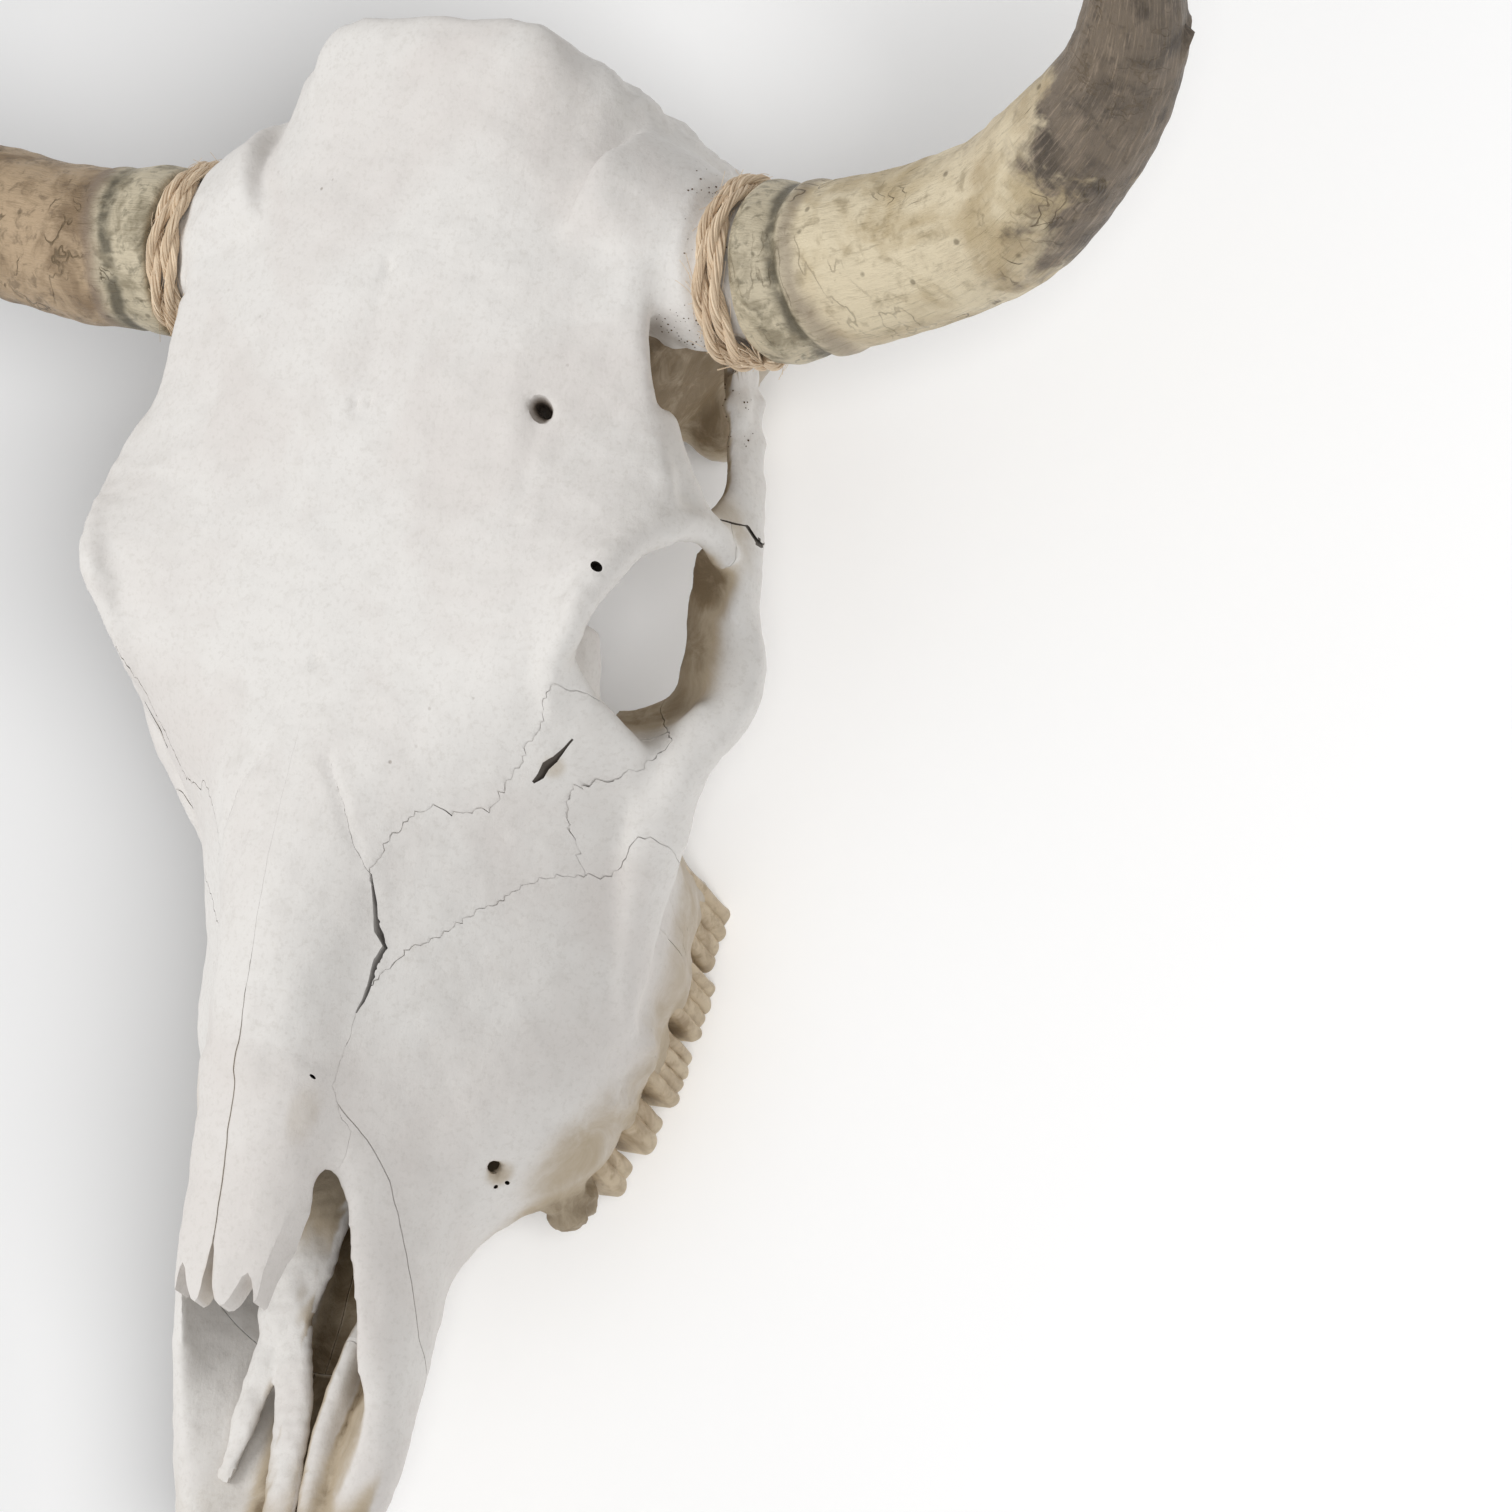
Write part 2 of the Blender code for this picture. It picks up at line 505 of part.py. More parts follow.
def whole_skull(collection):
    """The skull in one piece, before its bones are parted."""
    pieces = [loft("body", BODY, 3, 3, collection)]
    for side in (1, -1):
        pieces.append(orbit_wall(side, collection))
        for name, path, radii, flatness in SIDE_TUBES:
            pieces.append(tube(name, path, radii, flatness, collection, side=side))
        for name, (x, a, z), radii in SIDE_BALLS:
            pieces.append(ball(name, (side * x, a, z), radii, collection))
        pieces += tooth_blocks(side, collection)
    skull = joined("skull", pieces, collection)
    fuse(skull, COARSE_VOXEL, 2)

    cutters = [
        loft("cavity", CAVITY, 3, 3, collection),
        drill("foramen_magnum", *FORAMEN_MAGNUM, collection),
    ]
    for side in (1, -1):
        for name, (x, a, z), (across, back, up), radius, depth in SIDE_HOLES:
            cutters.append(drill(name, (side * x, a, z), (side * across, back, up), radius, depth, collection))
    for cutter in cutters:
        combine(skull, cutter, "DIFFERENCE")
        bpy.data.objects.remove(cutter)

    vault = nasal_vault(collection)
    for cutter in nasal_notches(collection):
        combine(vault, cutter, "DIFFERENCE")
        bpy.data.objects.remove(cutter)
    added = [skull, vault]
    for path, radii in PALATAL_BARS:
        added.append(tube("palatal", path, radii, BAR_FLATNESS, collection))
    skull = joined("skull", added, collection)
    fuse(skull, FINE_VOXEL, 2)
    keep_largest(skull)
    thin_out(skull, SKULL_TRIANGLES)
    floor = ground(collection)
    combine(skull, floor, "DIFFERENCE", "MANIFOLD")
    bpy.data.objects.remove(floor)
    return skull


def part_bone(name, skull, region, side, collection, parts):
    """Takes a bone out of the skull, leaving a hairline gap: region(grow) makes its outline solid."""
    bone = new_object(name, skull.data.copy(), parts)
    inside = region(side=side, grow=0.0)
    combine(bone, inside, "INTERSECT", "MANIFOLD")
    bpy.data.objects.remove(inside)
    keep_largest(bone)
    around = region(side=side, grow=GAP)
    combine(skull, around, "DIFFERENCE", "MANIFOLD")
    bpy.data.objects.remove(around)
    return bone


def part_bones(skull, guides, parts):
    def plan(outline, low, high):
        return lambda side, grow: plan_prism("region", outline, low, high, side, grow, guides)

    def level(z):
        return lambda x, a: z

    def premaxilla(side, grow):
        inner = PREMAXILLA_SPLIT + side * GAP / 2
        return side_prism("region", PREMAXILLA_SIDE, inner, side * BEYOND, grow, guides)

    regions = {
        "nasal": plan(NASAL_PLAN, nasal_floor, level(240)),
        "lacrimal": plan(LACRIMAL_PLAN, lacrimal_floor, level(220)),
        "cheekbone": plan(CHEEKBONE_PLAN, level(-20), level(CHEEKBONE_TOP)),
        "premaxilla": premaxilla,
        "maxilla": plan(MAXILLA_PLAN, level(-20), maxilla_ceiling),
    }
    bones = []
    for bone, region in regions.items():
        for side, word in ((1, "left"), (-1, "right")):
            bones.append(part_bone(f"{bone}_{word}", skull, region, side, guides, parts))
    cranium = new_object("cranium", skull.data.copy(), parts)
    keep_largest(cranium)
    bpy.data.objects.remove(skull)
    return bones + [cranium]


def vomer(collection):
    """The upright plate that stands on the palate along the midline."""
    half = VOMER_THICKNESS / 2
    pieces = [
        side_prism("plate", VOMER_PLATE, -half, half, 0.0, collection),
        tube("bar", VOMER_BAR, VOMER_BAR_RADII, VOMER_BAR_FLATNESS, collection),
    ]
    for path, heights in VOMER_LEGS:
        pieces.append(tube("leg", path, heights, VOMER_LEG_FLATNESS, collection))
    bone = joined("vomer", pieces, collection)
    fuse(bone, VOMER_VOXEL, 1)
    thin_out(bone, VOMER_TRIANGLES)
    return bone


def horn_disc(path, start, width, radius, side, collection):
    """A disc square to the foot of a horn, starting at a distance from the first point of its path."""
    foot = np.array(path[0], float) * (side, 1, 1)
    axis = np.array(path[1]) * (side, 1, 1) - foot
    axis /= np.linalg.norm(axis)
    return drill("disc", foot + axis * (start + width / 2), axis, radius, width, collection)


def trim_core(cranium, path, side, collection):
    """Cuts a horn core off flat under its sheath, and makes room for the rope round it."""
    beyond = horn_disc(path, SHEATH_START - GAP, 60, 60, side, collection)
    combine(cranium, beyond, "DIFFERENCE", "MANIFOLD")
    bpy.data.objects.remove(beyond)
    room = rope("room", path, side, collection, GAP)
    combine(cranium, room, "DIFFERENCE", "MANIFOLD")
    bpy.data.objects.remove(room)


def horn(name, path, side, collection):
    """A sheath that curves out and up from its flat foot."""
    sheath = tube(name, path, HORN_RADII, 1.0, collection, steps=2, side=side)
    below = horn_disc(path, SHEATH_START - 60, 60, 60, side, collection)
    combine(sheath, below, "DIFFERENCE")
    bpy.data.objects.remove(below)
    return sheath


def rope(name, path, side, collection, grow=0.0):
    """The wound rope as one ring round the horn core."""
    start = SHEATH_START - GAP - ROPE_WIDTH
    ring = horn_disc(path, start - grow, ROPE_WIDTH + 2 * grow, ROPE_RADIUS + grow, side, collection)
    core = horn_disc(path, start - 10, ROPE_WIDTH + 20, CORE_RADIUS + GAP - grow, side, collection)
    combine(ring, core, "DIFFERENCE")
    bpy.data.objects.remove(core)
    ring.name = name
    return ring


def coloured(obj, colour, roughness):
    """Gives the object a material of its own."""
    material = bpy.data.materials.new(obj.name)
    material.use_nodes = True
    shader = material.node_tree.nodes["Principled BSDF"]
    shader.inputs["Base Color"].default_value = (*colour, 1)
    shader.inputs["Roughness"].default_value = roughness
    shader.inputs["Metallic"].default_value = 0.0
    obj.data.materials.clear()
    obj.data.materials.append(material)
    obj.data.shade_smooth()
    obj.data.set_sharp_from_angle(angle=np.radians(50))


def main():
    for obj in list(bpy.data.objects):
        bpy.data.objects.remove(obj)
    parts = bpy.data.collections.new("cow_skull")
    guides = bpy.data.collections.new("cutters")
    guides.hide_render = True  # cutters, each removed once it has cut
    for collection in (parts, guides):
        bpy.context.scene.collection.children.link(collection)

    skull = whole_skull(guides)
    bones = part_bones(skull, guides, parts)
    for path, side in ((HORN_LEFT, 1), (HORN_RIGHT, -1)):
        trim_core(bones[-1], path, side, guides)
    keep_largest(bones[-1])
    bones.append(vomer(parts))
    for bone in bones:
        coloured(bone, BONE, 0.6)
    for word, path, side in (("left", HORN_LEFT, 1), ("right", HORN_RIGHT, -1)):
        coloured(horn(f"horn_{word}", path, side, parts), HORN, 0.45)
        coloured(rope(f"rope_{word}", path, side, parts), JUTE, 0.9)


main()
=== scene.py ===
"""A bleached cow skull with jute cord wound round the feet of its horns.

The bones are built again here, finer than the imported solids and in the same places. Working coordinates are in
millimetres: x to the animal's left, a back from the muzzle tip, z up from the chewing surface of the teeth.
"""

import math

import bmesh
import bpy
import numpy as np
from mathutils import Matrix, Vector
from mathutils.bvhtree import BVHTree


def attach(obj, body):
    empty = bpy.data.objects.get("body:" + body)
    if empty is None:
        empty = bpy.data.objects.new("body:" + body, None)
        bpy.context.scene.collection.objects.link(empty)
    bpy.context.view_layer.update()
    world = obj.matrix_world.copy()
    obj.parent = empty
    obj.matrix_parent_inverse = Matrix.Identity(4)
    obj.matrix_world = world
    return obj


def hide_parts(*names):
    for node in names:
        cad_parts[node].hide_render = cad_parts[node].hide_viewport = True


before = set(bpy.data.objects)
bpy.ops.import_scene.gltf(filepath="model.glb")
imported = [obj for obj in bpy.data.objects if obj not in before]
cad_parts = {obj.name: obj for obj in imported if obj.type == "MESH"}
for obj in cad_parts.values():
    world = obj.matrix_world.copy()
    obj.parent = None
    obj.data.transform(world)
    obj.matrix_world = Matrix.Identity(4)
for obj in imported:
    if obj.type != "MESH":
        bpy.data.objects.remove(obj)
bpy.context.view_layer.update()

MM = 0.001
REST = np.array(Matrix.Rotation(math.radians(-12.2), 3, "X"))
REST_PIVOT = np.array((0.0, 282.0, 0.0))
REST_PLACE = np.array((0.0, -10.1, -1.5))

GAP = 0.45  # hairline between two bones
SKULL_LENGTH = 495.0
WALL = 5.5
COARSE_VOXEL = 2.2
FINE_VOXEL = 1.7
MOST_TRIANGLES = 195000  # of one piece
TUBE_STEPS = 5
TUBE_SIDES = 20
RAYS = 14  # cast from each vertex to find out how hidden it is
RAY_REACH = 0.09
HIDDEN_ROUNDS = 6  # of evening out what the rays found
LEAN_FROM = 440.0
NUCHAL_LEAN = 26.0

# The photograph's view, in working coordinates.
IMAGE_SIDE = 1512.0
FOCAL_PIXELS = 5946.75
CAMERA_PLACE = (1172.99, -342.03, 1536.13)
CAMERA_BACK = (0.55297, -0.33608, 0.76242)
CAMERA_UP = (-0.07429, 0.89151, 0.44686)
SIDES = ((1, "left"), (-1, "right"))
SKULL_PIECES = bpy.data.collections.new("skull_pieces")


# ---------------------------------------------------------------- places and curves


def placed(points):
    """World positions, in metres, of working points."""
    return ((np.asarray(points, float) - REST_PIVOT) @ REST.T + REST_PLACE) * MM


def working(points):
    """Working points, in millimetres, of world positions."""
    return (np.asarray(points, float) / MM - REST_PLACE) @ REST + REST_PIVOT


def smooth_through(points, steps, closed=False):
    """Catmull-Rom points through the given ones, along the first axis of the array."""
    points = np.asarray(points, float)
    if closed:
        padded = np.concatenate([points[-1:], points, points[:2]])
    else:
        padded = np.concatenate([2 * points[:1] - points[1:2], points, 2 * points[-1:] - points[-2:-1]])
    found = []
    for i in range(len(padded) - 3):
        p0, p1, p2, p3 = padded[i : i + 4]
        for t in np.arange(steps) / steps:
            found.append(
                0.5 * (2 * p1 + (p2 - p0) * t + (2 * p0 - 5 * p1 + 4 * p2 - p3) * t**2
                       + (3 * p1 - p0 - 3 * p2 + p3) * t**3)
            )
    if not closed:
        found.append(points[-1])
    return np.array(found)


def spread(values, count):
    """Values given at even steps, read at count even places."""
    values = np.asarray(values, float)
    return np.interp(np.linspace(0, 1, count), np.linspace(0, 1, len(values)), values)


def ramp(value, low, high):
    """0 below low, 1 above high, smooth between; low may be the greater."""
    t = np.clip((value - low) / (high - low), 0, 1)
    return t * t * (3 - 2 * t)


def lumps(points, length, seed, waves=14):
    """Smooth noise of about the given wavelength, near -1 to 1, at working points."""
    random = np.random.default_rng(seed)
    total = np.zeros(len(points))
    for _ in range(waves):
        direction = random.normal(size=3)
        direction /= np.linalg.norm(direction)
        phase = points @ direction * 2 * np.pi / length / random.uniform(0.7, 1.5)
        total += np.sin(phase + random.uniform(0, 2 * np.pi))
    return total / math.sqrt(waves)


def folded(points):
    """The points, with those of the right side brought over to the left."""
    return np.abs(points * (1, 0, 0)) + points * (0, 1, 1)


def distance_to(points, path):
    """Distance of each point from a path of straight pieces."""
    path = np.asarray(path, float)
    best = np.full(len(points), np.inf)
    for p, q in zip(path, path[1:]):
        along = q - p
        t = np.clip((points - p) @ along / (along @ along), 0, 1)
        best = np.minimum(best, np.linalg.norm(points - p - t[:, None] * along, axis=1))
    return best


# ---------------------------------------------------------------- meshes


def gathered(items, key, width, kind=np.float32):
    """One row of numbers for each vertex, edge or face."""
    values = np.empty(len(items) * width, kind)
    items.foreach_get(key, values)
    return values.reshape(-1, width)


def linked_ends(mesh):
    return gathered(mesh.edges, "vertices", 2, np.int32)


def new_object(name, mesh):
    obj = bpy.data.objects.new(name, mesh)
    bpy.context.scene.collection.objects.link(obj)
    return obj


def object_from(name, bm):
    bmesh.ops.recalc_face_normals(bm, faces=bm.faces)
    mesh = bpy.data.meshes.new(name)
    bm.to_mesh(mesh)
    bm.free()
    return new_object(name, mesh)


def shell(name, rings, values=None):
    """A closed skin over rings of working points, each with as many points; its ends are filled.

    values holds numbers or vectors of each point, which the materials read by name.
    """
    rings = placed(rings)
    rows, count = rings.shape[:2]
    bm = bmesh.new()
    bmesh.ops.create_grid(bm, x_segments=count, y_segments=rows - 1, size=1)
    bm.verts.ensure_lookup_table()
    layers = []
    for key, table in (values or {}).items():
        kind = bm.verts.layers.float_vector if np.ndim(table) == 3 else bm.verts.layers.float
        layers.append((kind.new(key), table))
    for i, vert in enumerate(bm.verts):
        row, column = divmod(i, count + 1)
        vert.co = rings[row][column % count]
        for layer, table in layers:
            vert[layer] = table[row][column % count]
    bmesh.ops.remove_doubles(bm, verts=bm.verts, dist=1e-7)
    bmesh.ops.holes_fill(bm, edges=bm.edges, sides=0)
    return object_from(name, bm)


def body_rings(stations, ring_steps, along_steps):
    """Rings of a body with the same left and right, through half sections (a, [(x, z), ...])."""
    levels = smooth_through([[a] for a, _ in stations], along_steps)[:, 0]
    halves = smooth_through([half for _, half in stations], along_steps)
    rings = []
    for a, half in zip(levels, halves):
        left = np.array(half)
        right = left[-2:0:-1] * (-1, 1)
        section = smooth_through(np.concatenate([left, right]), ring_steps, closed=True)
        lean = NUCHAL_LEAN * max(0.0, a - LEAN_FROM) / (SKULL_LENGTH - LEAN_FROM)
        rings.append([(x, a + lean * (min(z, 215) - 215) / 150, z) for x, z in section])
    return np.array(rings)


def evaluated_mesh(obj):
    bpy.context.view_layer.update()
    return bpy.data.meshes.new_from_object(obj.evaluated_get(bpy.context.evaluated_depsgraph_get()))


def apply_modifiers(obj):
    """Replaces the object's mesh by what its modifiers make of it."""
    mesh = evaluated_mesh(obj)
    obj.modifiers.clear()
    obj.data = mesh


def tube(name, path, radii, flatness, side=1):
    """A round or oval tube through the path; flatness is thickness over height."""
    points = smooth_through(path, TUBE_STEPS)
    widths = spread(radii, len(points))
    oval = bpy.data.curves.new("oval", "CURVE")
    oval.dimensions = "2D"
    outline = oval.splines.new("POLY")
    angles = np.linspace(0, 2 * np.pi, TUBE_SIDES, endpoint=False)
    outline.points.add(TUBE_SIDES - 1)
    for point, angle in zip(outline.points, angles):
        point.co = (math.cos(angle) * flatness * MM, math.sin(angle) * MM, 0, 1)
    outline.use_cyclic_u = True
    oval_object = new_object("oval", oval)
    curve = bpy.data.curves.new(name, "CURVE")
    curve.dimensions = "3D"
    curve.bevel_mode = "OBJECT"
    curve.bevel_object = oval_object
    curve.use_fill_caps = True
    curve.twist_mode = "Z_UP"
    spline = curve.splines.new("POLY")
    spline.points.add(len(points) - 1)
    for target, point, width in zip(spline.points, placed(points * (side, 1, 1)), widths):
        target.co = (*point, 1)
        target.radius = width
    guide = new_object(name, curve)
    mesh = evaluated_mesh(guide)
    bm = bmesh.new()
    bm.from_mesh(mesh)
    bmesh.ops.remove_doubles(bm, verts=bm.verts, dist=0.00001)
    bpy.data.objects.remove(guide)
    bpy.data.objects.remove(oval_object)
    return object_from(name, bm)


def turned(bm, centre, matrix=None):
    """Puts a shape, made in millimetres round its own centre, in its working place."""
    if matrix is not None:
        bmesh.ops.rotate(bm, cent=(0, 0, 0), matrix=matrix, verts=bm.verts)
    bmesh.ops.scale(bm, vec=(MM, MM, MM), verts=bm.verts)
    bmesh.ops.rotate(bm, cent=(0, 0, 0), matrix=Matrix(REST.tolist()), verts=bm.verts)
    bmesh.ops.translate(bm, vec=placed(centre), verts=bm.verts)


def ball(name, centre, radii):
    bm = bmesh.new()
    bmesh.ops.create_uvsphere(bm, u_segments=28, v_segments=18, radius=1)
    bmesh.ops.scale(bm, vec=radii, verts=bm.verts)
    turned(bm, centre)
    return object_from(name, bm)


def drill(name, centre, toward, radius, depth, oval=1.0):
    """A round or oval cutter through a point, along a direction."""
    bm = bmesh.new()
    bmesh.ops.create_cone(bm, cap_ends=True, segments=32, radius1=radius, radius2=radius, depth=depth)
    bmesh.ops.scale(bm, vec=(1, oval, 1), verts=bm.verts)
    turned(bm, centre, Vector(toward).to_track_quat("Z", "Y").to_matrix())
    return object_from(name, bm)


def combine(obj, other, operation):
    """A Boolean with another object, which it uses up."""
    modifier = obj.modifiers.new(operation.title(), "BOOLEAN")
    modifier.operation = operation
    modifier.object = other
    modifier.solver = "MANIFOLD"
    apply_modifiers(obj)
    bpy.data.objects.remove(other)


def joined(name, pieces):
    """One object holding the meshes of all the pieces, which it replaces."""
    bm = bmesh.new()
    for piece in pieces:
        bm.from_mesh(piece.data)
        bpy.data.objects.remove(piece)
    mesh = bpy.data.meshes.new(name)
    bm.to_mesh(mesh)
    bm.free()
    return new_object(name, mesh)


def fuse(obj, voxel, smoothing):
    """Turns overlapping solids into one smooth solid."""
    remesh = obj.modifiers.new("Remesh", "REMESH")
    remesh.mode = "VOXEL"
    remesh.voxel_size = voxel * MM
    smooth = obj.modifiers.new("Smooth", "SMOOTH")
    smooth.iterations = smoothing
    smooth.factor = 0.5
    apply_modifiers(obj)


def thin_out(obj, triangles):
    count = sum(len(face.vertices) - 2 for face in obj.data.polygons)
    if count <= triangles:
        return
    decimate = obj.modifiers.new("Decimate", "DECIMATE")
    decimate.ratio = triangles / count
    apply_modifiers(obj)


def keep_largest(obj):
    """Drops the crumbs that a cut leaves beside the main body."""
    mesh = obj.data
    ends = linked_ends(mesh)
    label = np.arange(len(mesh.vertices))
    while True:
        low = np.minimum(label[ends[:, 0]], label[ends[:, 1]])
        before = label.copy()
        np.minimum.at(label, ends[:, 0], low)
        np.minimum.at(label, ends[:, 1], low)
        label = label[label]
        if (label == before).all():
            break
    names, counts = np.unique(label, return_counts=True)
    if len(names) == 1:
        return
    keep = names[counts.argmax()]
    bm = bmesh.new()
    bm.from_mesh(mesh)
    bm.verts.ensure_lookup_table()
    bmesh.ops.delete(bm, geom=[bm.verts[i] for i in np.flatnonzero(label != keep)], context="VERTS")
    bm.to_mesh(mesh)
    bm.free()


def read_points(obj):
    return working(gathered(obj.data.vertices, "co", 3))


def read_normals(obj):
    """Vertex normals in working directions."""
    return gathered(obj.data.vertex_normals, "vector", 3) @ REST


def write_points(obj, points):
    obj.data.vertices.foreach_set("co", placed(points).astype(np.float32).ravel())
    obj.data.update()


def write_values(obj, name, values):
    """Stores one number a vertex, for the materials."""
    attribute = obj.data.attributes.new(name, "FLOAT", "POINT")
    attribute.data.foreach_set("value", np.asarray(values, np.float32))


# ---------------------------------------------------------------- the skull's own shape

# Half sections of the main body, from the midline above to the midline below: (a, [(x, z), ...]).
BODY = [
    (2, [(0, 37), (6, 37), (11, 36), (14, 34), (15, 33), (15, 32), (14, 30), (12, 29), (7, 29), (0, 30)]),
    (14, [(0, 41), (10, 41), (19, 40), (26, 37), (30, 34), (30, 32), (28, 30), (23, 28), (12, 28), (0, 29)]),
    (38, [(0, 47), (15, 47), (25, 47), (33, 44), (39, 40), (40, 35), (38, 31), (32, 28), (16, 28), (0, 29)]),
    (62, [(0, 57), (16, 57), (28, 57), (36, 54), (43, 49), (45, 42), (42, 34), (34, 28), (16, 28), (0, 30)]),
    (82, [(0, 69), (17, 69), (30, 69), (38, 66), (44, 60), (46, 51), (43, 38), (34, 28), (16, 28), (0, 31)]),
    (104, [(0, 82), (17, 82), (30, 82), (37, 80), (44, 71), (46, 57), (42, 41), (32, 28), (16, 28), (0, 32)]),
    (125, [(0, 94), (16, 94), (26, 94), (33, 91), (42, 79), (46, 62), (41, 42), (31, 28), (18, 28), (0, 33)]),
    (140, [(0, 104), (14, 104), (24, 104), (29, 101), (39, 89), (47, 72), (47, 46), (38, 29), (25, 28), (0, 33)]),
    (150, [(0, 130), (12, 126), (20, 118), (27, 107), (40, 90), (50, 71), (52, 46), (46, 26), (34, 26), (0, 34)]),
    (165, [(0, 135), (13, 131), (21, 123), (28, 112), (43, 94), (58, 73), (65, 51), (64, 22), (42, 26), (0, 34)]),
    (185, [(0, 142), (14, 138), (22, 130), (28, 119), (48, 99), (66, 77), (75, 52), (71, 20), (45, 26), (0, 34)]),
    (205, [(0, 148), (15, 144), (25, 135), (32, 123), (51, 103), (69, 79), (79, 50), (73, 20), (46, 26), (0, 34)]),
    (225, [(0, 153), (16, 150), (28, 143), (37, 131), (57, 109), (72, 86), (80, 54), (74, 20), (47, 26), (0, 34)]),
    (245, [(0, 157), (18, 155), (33, 149), (47, 138), (64, 119), (77, 94), (81, 62), (74, 20), (47, 26), (0, 34)]),
    (265, [(0, 160), (20, 159), (39, 156), (61, 148), (78, 130), (87, 102), (81, 66), (72, 20), (46, 27), (0, 34)]),
    (285, [(0, 164), (24, 163), (48, 162), (79, 158), (94, 142), (98, 110), (76, 72), (62, 28), (44, 28), (0, 35)]),
    (300, [(0, 168), (28, 167), (57, 167), (90, 166), (90, 157), (60, 124), (50, 90), (42, 56), (34, 42), (0, 52)]),
    (320, [(0, 173), (32, 172), (64, 172), (100, 172), (99, 163), (56, 138), (42, 98), (32, 76), (24, 62), (0, 70)]),
    (340, [(0, 178), (34, 177), (72, 176), (109, 167), (108, 156), (54, 137), (42, 106), (33, 88), (22, 74), (0, 72)]),
    (355, [(0, 183), (34, 182), (70, 179), (109, 165), (104, 153), (52, 137), (42, 106), (34, 88), (22, 72), (0, 68)]),
    (375, [(0, 190), (34, 189), (66, 184), (100, 170), (92, 160), (50, 138), (44, 108), (36, 86), (24, 68), (0, 62)]),
    (395, [(0, 195), (34, 194), (64, 189), (96, 180), (84, 167), (52, 142), (47, 112), (38, 88), (24, 68), (0, 58)]),
    (415, [(0, 200), (34, 199), (64, 193), (93, 185), (76, 165), (58, 142), (55, 112), (45, 84), (26, 62), (0, 54)]),
    (440, [(0, 206), (34, 204), (62, 197), (86, 182), (84, 152), (73, 136), (68, 110), (55, 80), (30, 58), (0, 52)]),
    (462, [(0, 213), (38, 210), (60, 197), (80, 178), (90, 152), (90, 132), (86, 108), (66, 80), (32, 56), (0, 52)]),
    (480, [(0, 219), (42, 215), (56, 202), (72, 184), (84, 160), (90, 132), (84, 104), (60, 78), (32, 58), (0, 54)]),
    (491, [(0, 220), (36, 217), (48, 204), (62, 182), (74, 156), (78, 128), (68, 102), (48, 80), (28, 64), (0, 62)]),
]

# The nasal cavity, narrower than the body by its wall: (a, [(x, z), ...]), with an open top in front.
CAVITY = [
    (-8, [(0, 90), (4, 90), (7, 90), (9, 60), (10, 40), (8, 37), (5, 35), (0, 34)]),
    (14, [(0, 92), (10, 92), (16, 90), (20, 60), (22, 42), (15, 38), (8, 35), (0, 34)]),
    (38, [(0, 95), (18, 95), (27, 90), (30, 64), (32, 47), (25, 42), (14, 36), (0, 34)]),
    (62, [(0, 98), (23, 98), (31, 92), (33, 68), (36, 55), (29, 47), (15, 38), (0, 35)]),
    (82, [(0, 104), (24, 104), (32, 96), (33, 76), (36, 61), (31, 49), (18, 38), (0, 35)]),
    (104, [(0, 112), (24, 112), (31, 104), (32, 86), (37, 69), (34, 52), (22, 38), (0, 35)]),
    (125, [(0, 120), (20, 118), (28, 108), (30, 88), (36, 74), (38, 56), (32, 37), (0, 38)]),
    (140, [(0, 121), (16, 113), (22, 104), (25, 94), (35, 80), (41, 64), (38, 38), (0, 38)]),
    (165, [(0, 129), (14, 122), (21, 110), (36, 91), (51, 71), (57, 52), (46, 38), (0, 39)]),
    (205, [(0, 142), (16, 136), (25, 122), (45, 102), (62, 80), (66, 54), (46, 38), (0, 39)]),
    (245, [(0, 149), (18, 145), (36, 132), (54, 114), (64, 90), (60, 60), (42, 40), (0, 40)]),
    (262, [(0, 142), (12, 138), (24, 126), (38, 110), (46, 90), (42, 66), (30, 46), (0, 46)]),
]

# The front of the nasal bones, a vault that hangs free over the opening: (a, crown z, half width, drop).
NASAL_VAULT = [(83, 104, 21, 10), (92, 107, 22, 12), (108, 113, 23, 15), (128, 121, 24, 18), (160, 133, 26, 23)]
VAULT_EDGE = 2.5
# The front edge of each nasal bone in plan, (x, a): a rounded tongue, a notch and a thin prong beside it.
NASAL_TIP = [
    (-0.3, 60), (-0.3, 104), (0.8, 99), (1.5, 93), (2.3, 88), (3.5, 84.8), (5.1, 83.6), (6.8, 84.3), (8.4, 86.6),
    (10.0, 90), (11.6, 93.5), (13.2, 95), (14.4, 93.5), (15.2, 90), (15.8, 87), (16.4, 88), (16.9, 92), (17.6, 97),
    (18.6, 103), (19.9, 109), (21.2, 115), (22.6, 121), (23.8, 126), (26, 126), (26, 60),
]
NASAL_TIP_LEVELS = (82, 135)

# Tubes: points (x, a, z) of the path of each.
ORBIT_RIM = [
    (84, 280, 144), (86, 288, 155), (93, 298, 164), (98, 307, 169), (102, 317, 169), (106, 331, 165), (111, 341, 157),
    (113, 348, 146), (114, 349, 134), (117, 344, 126),
]
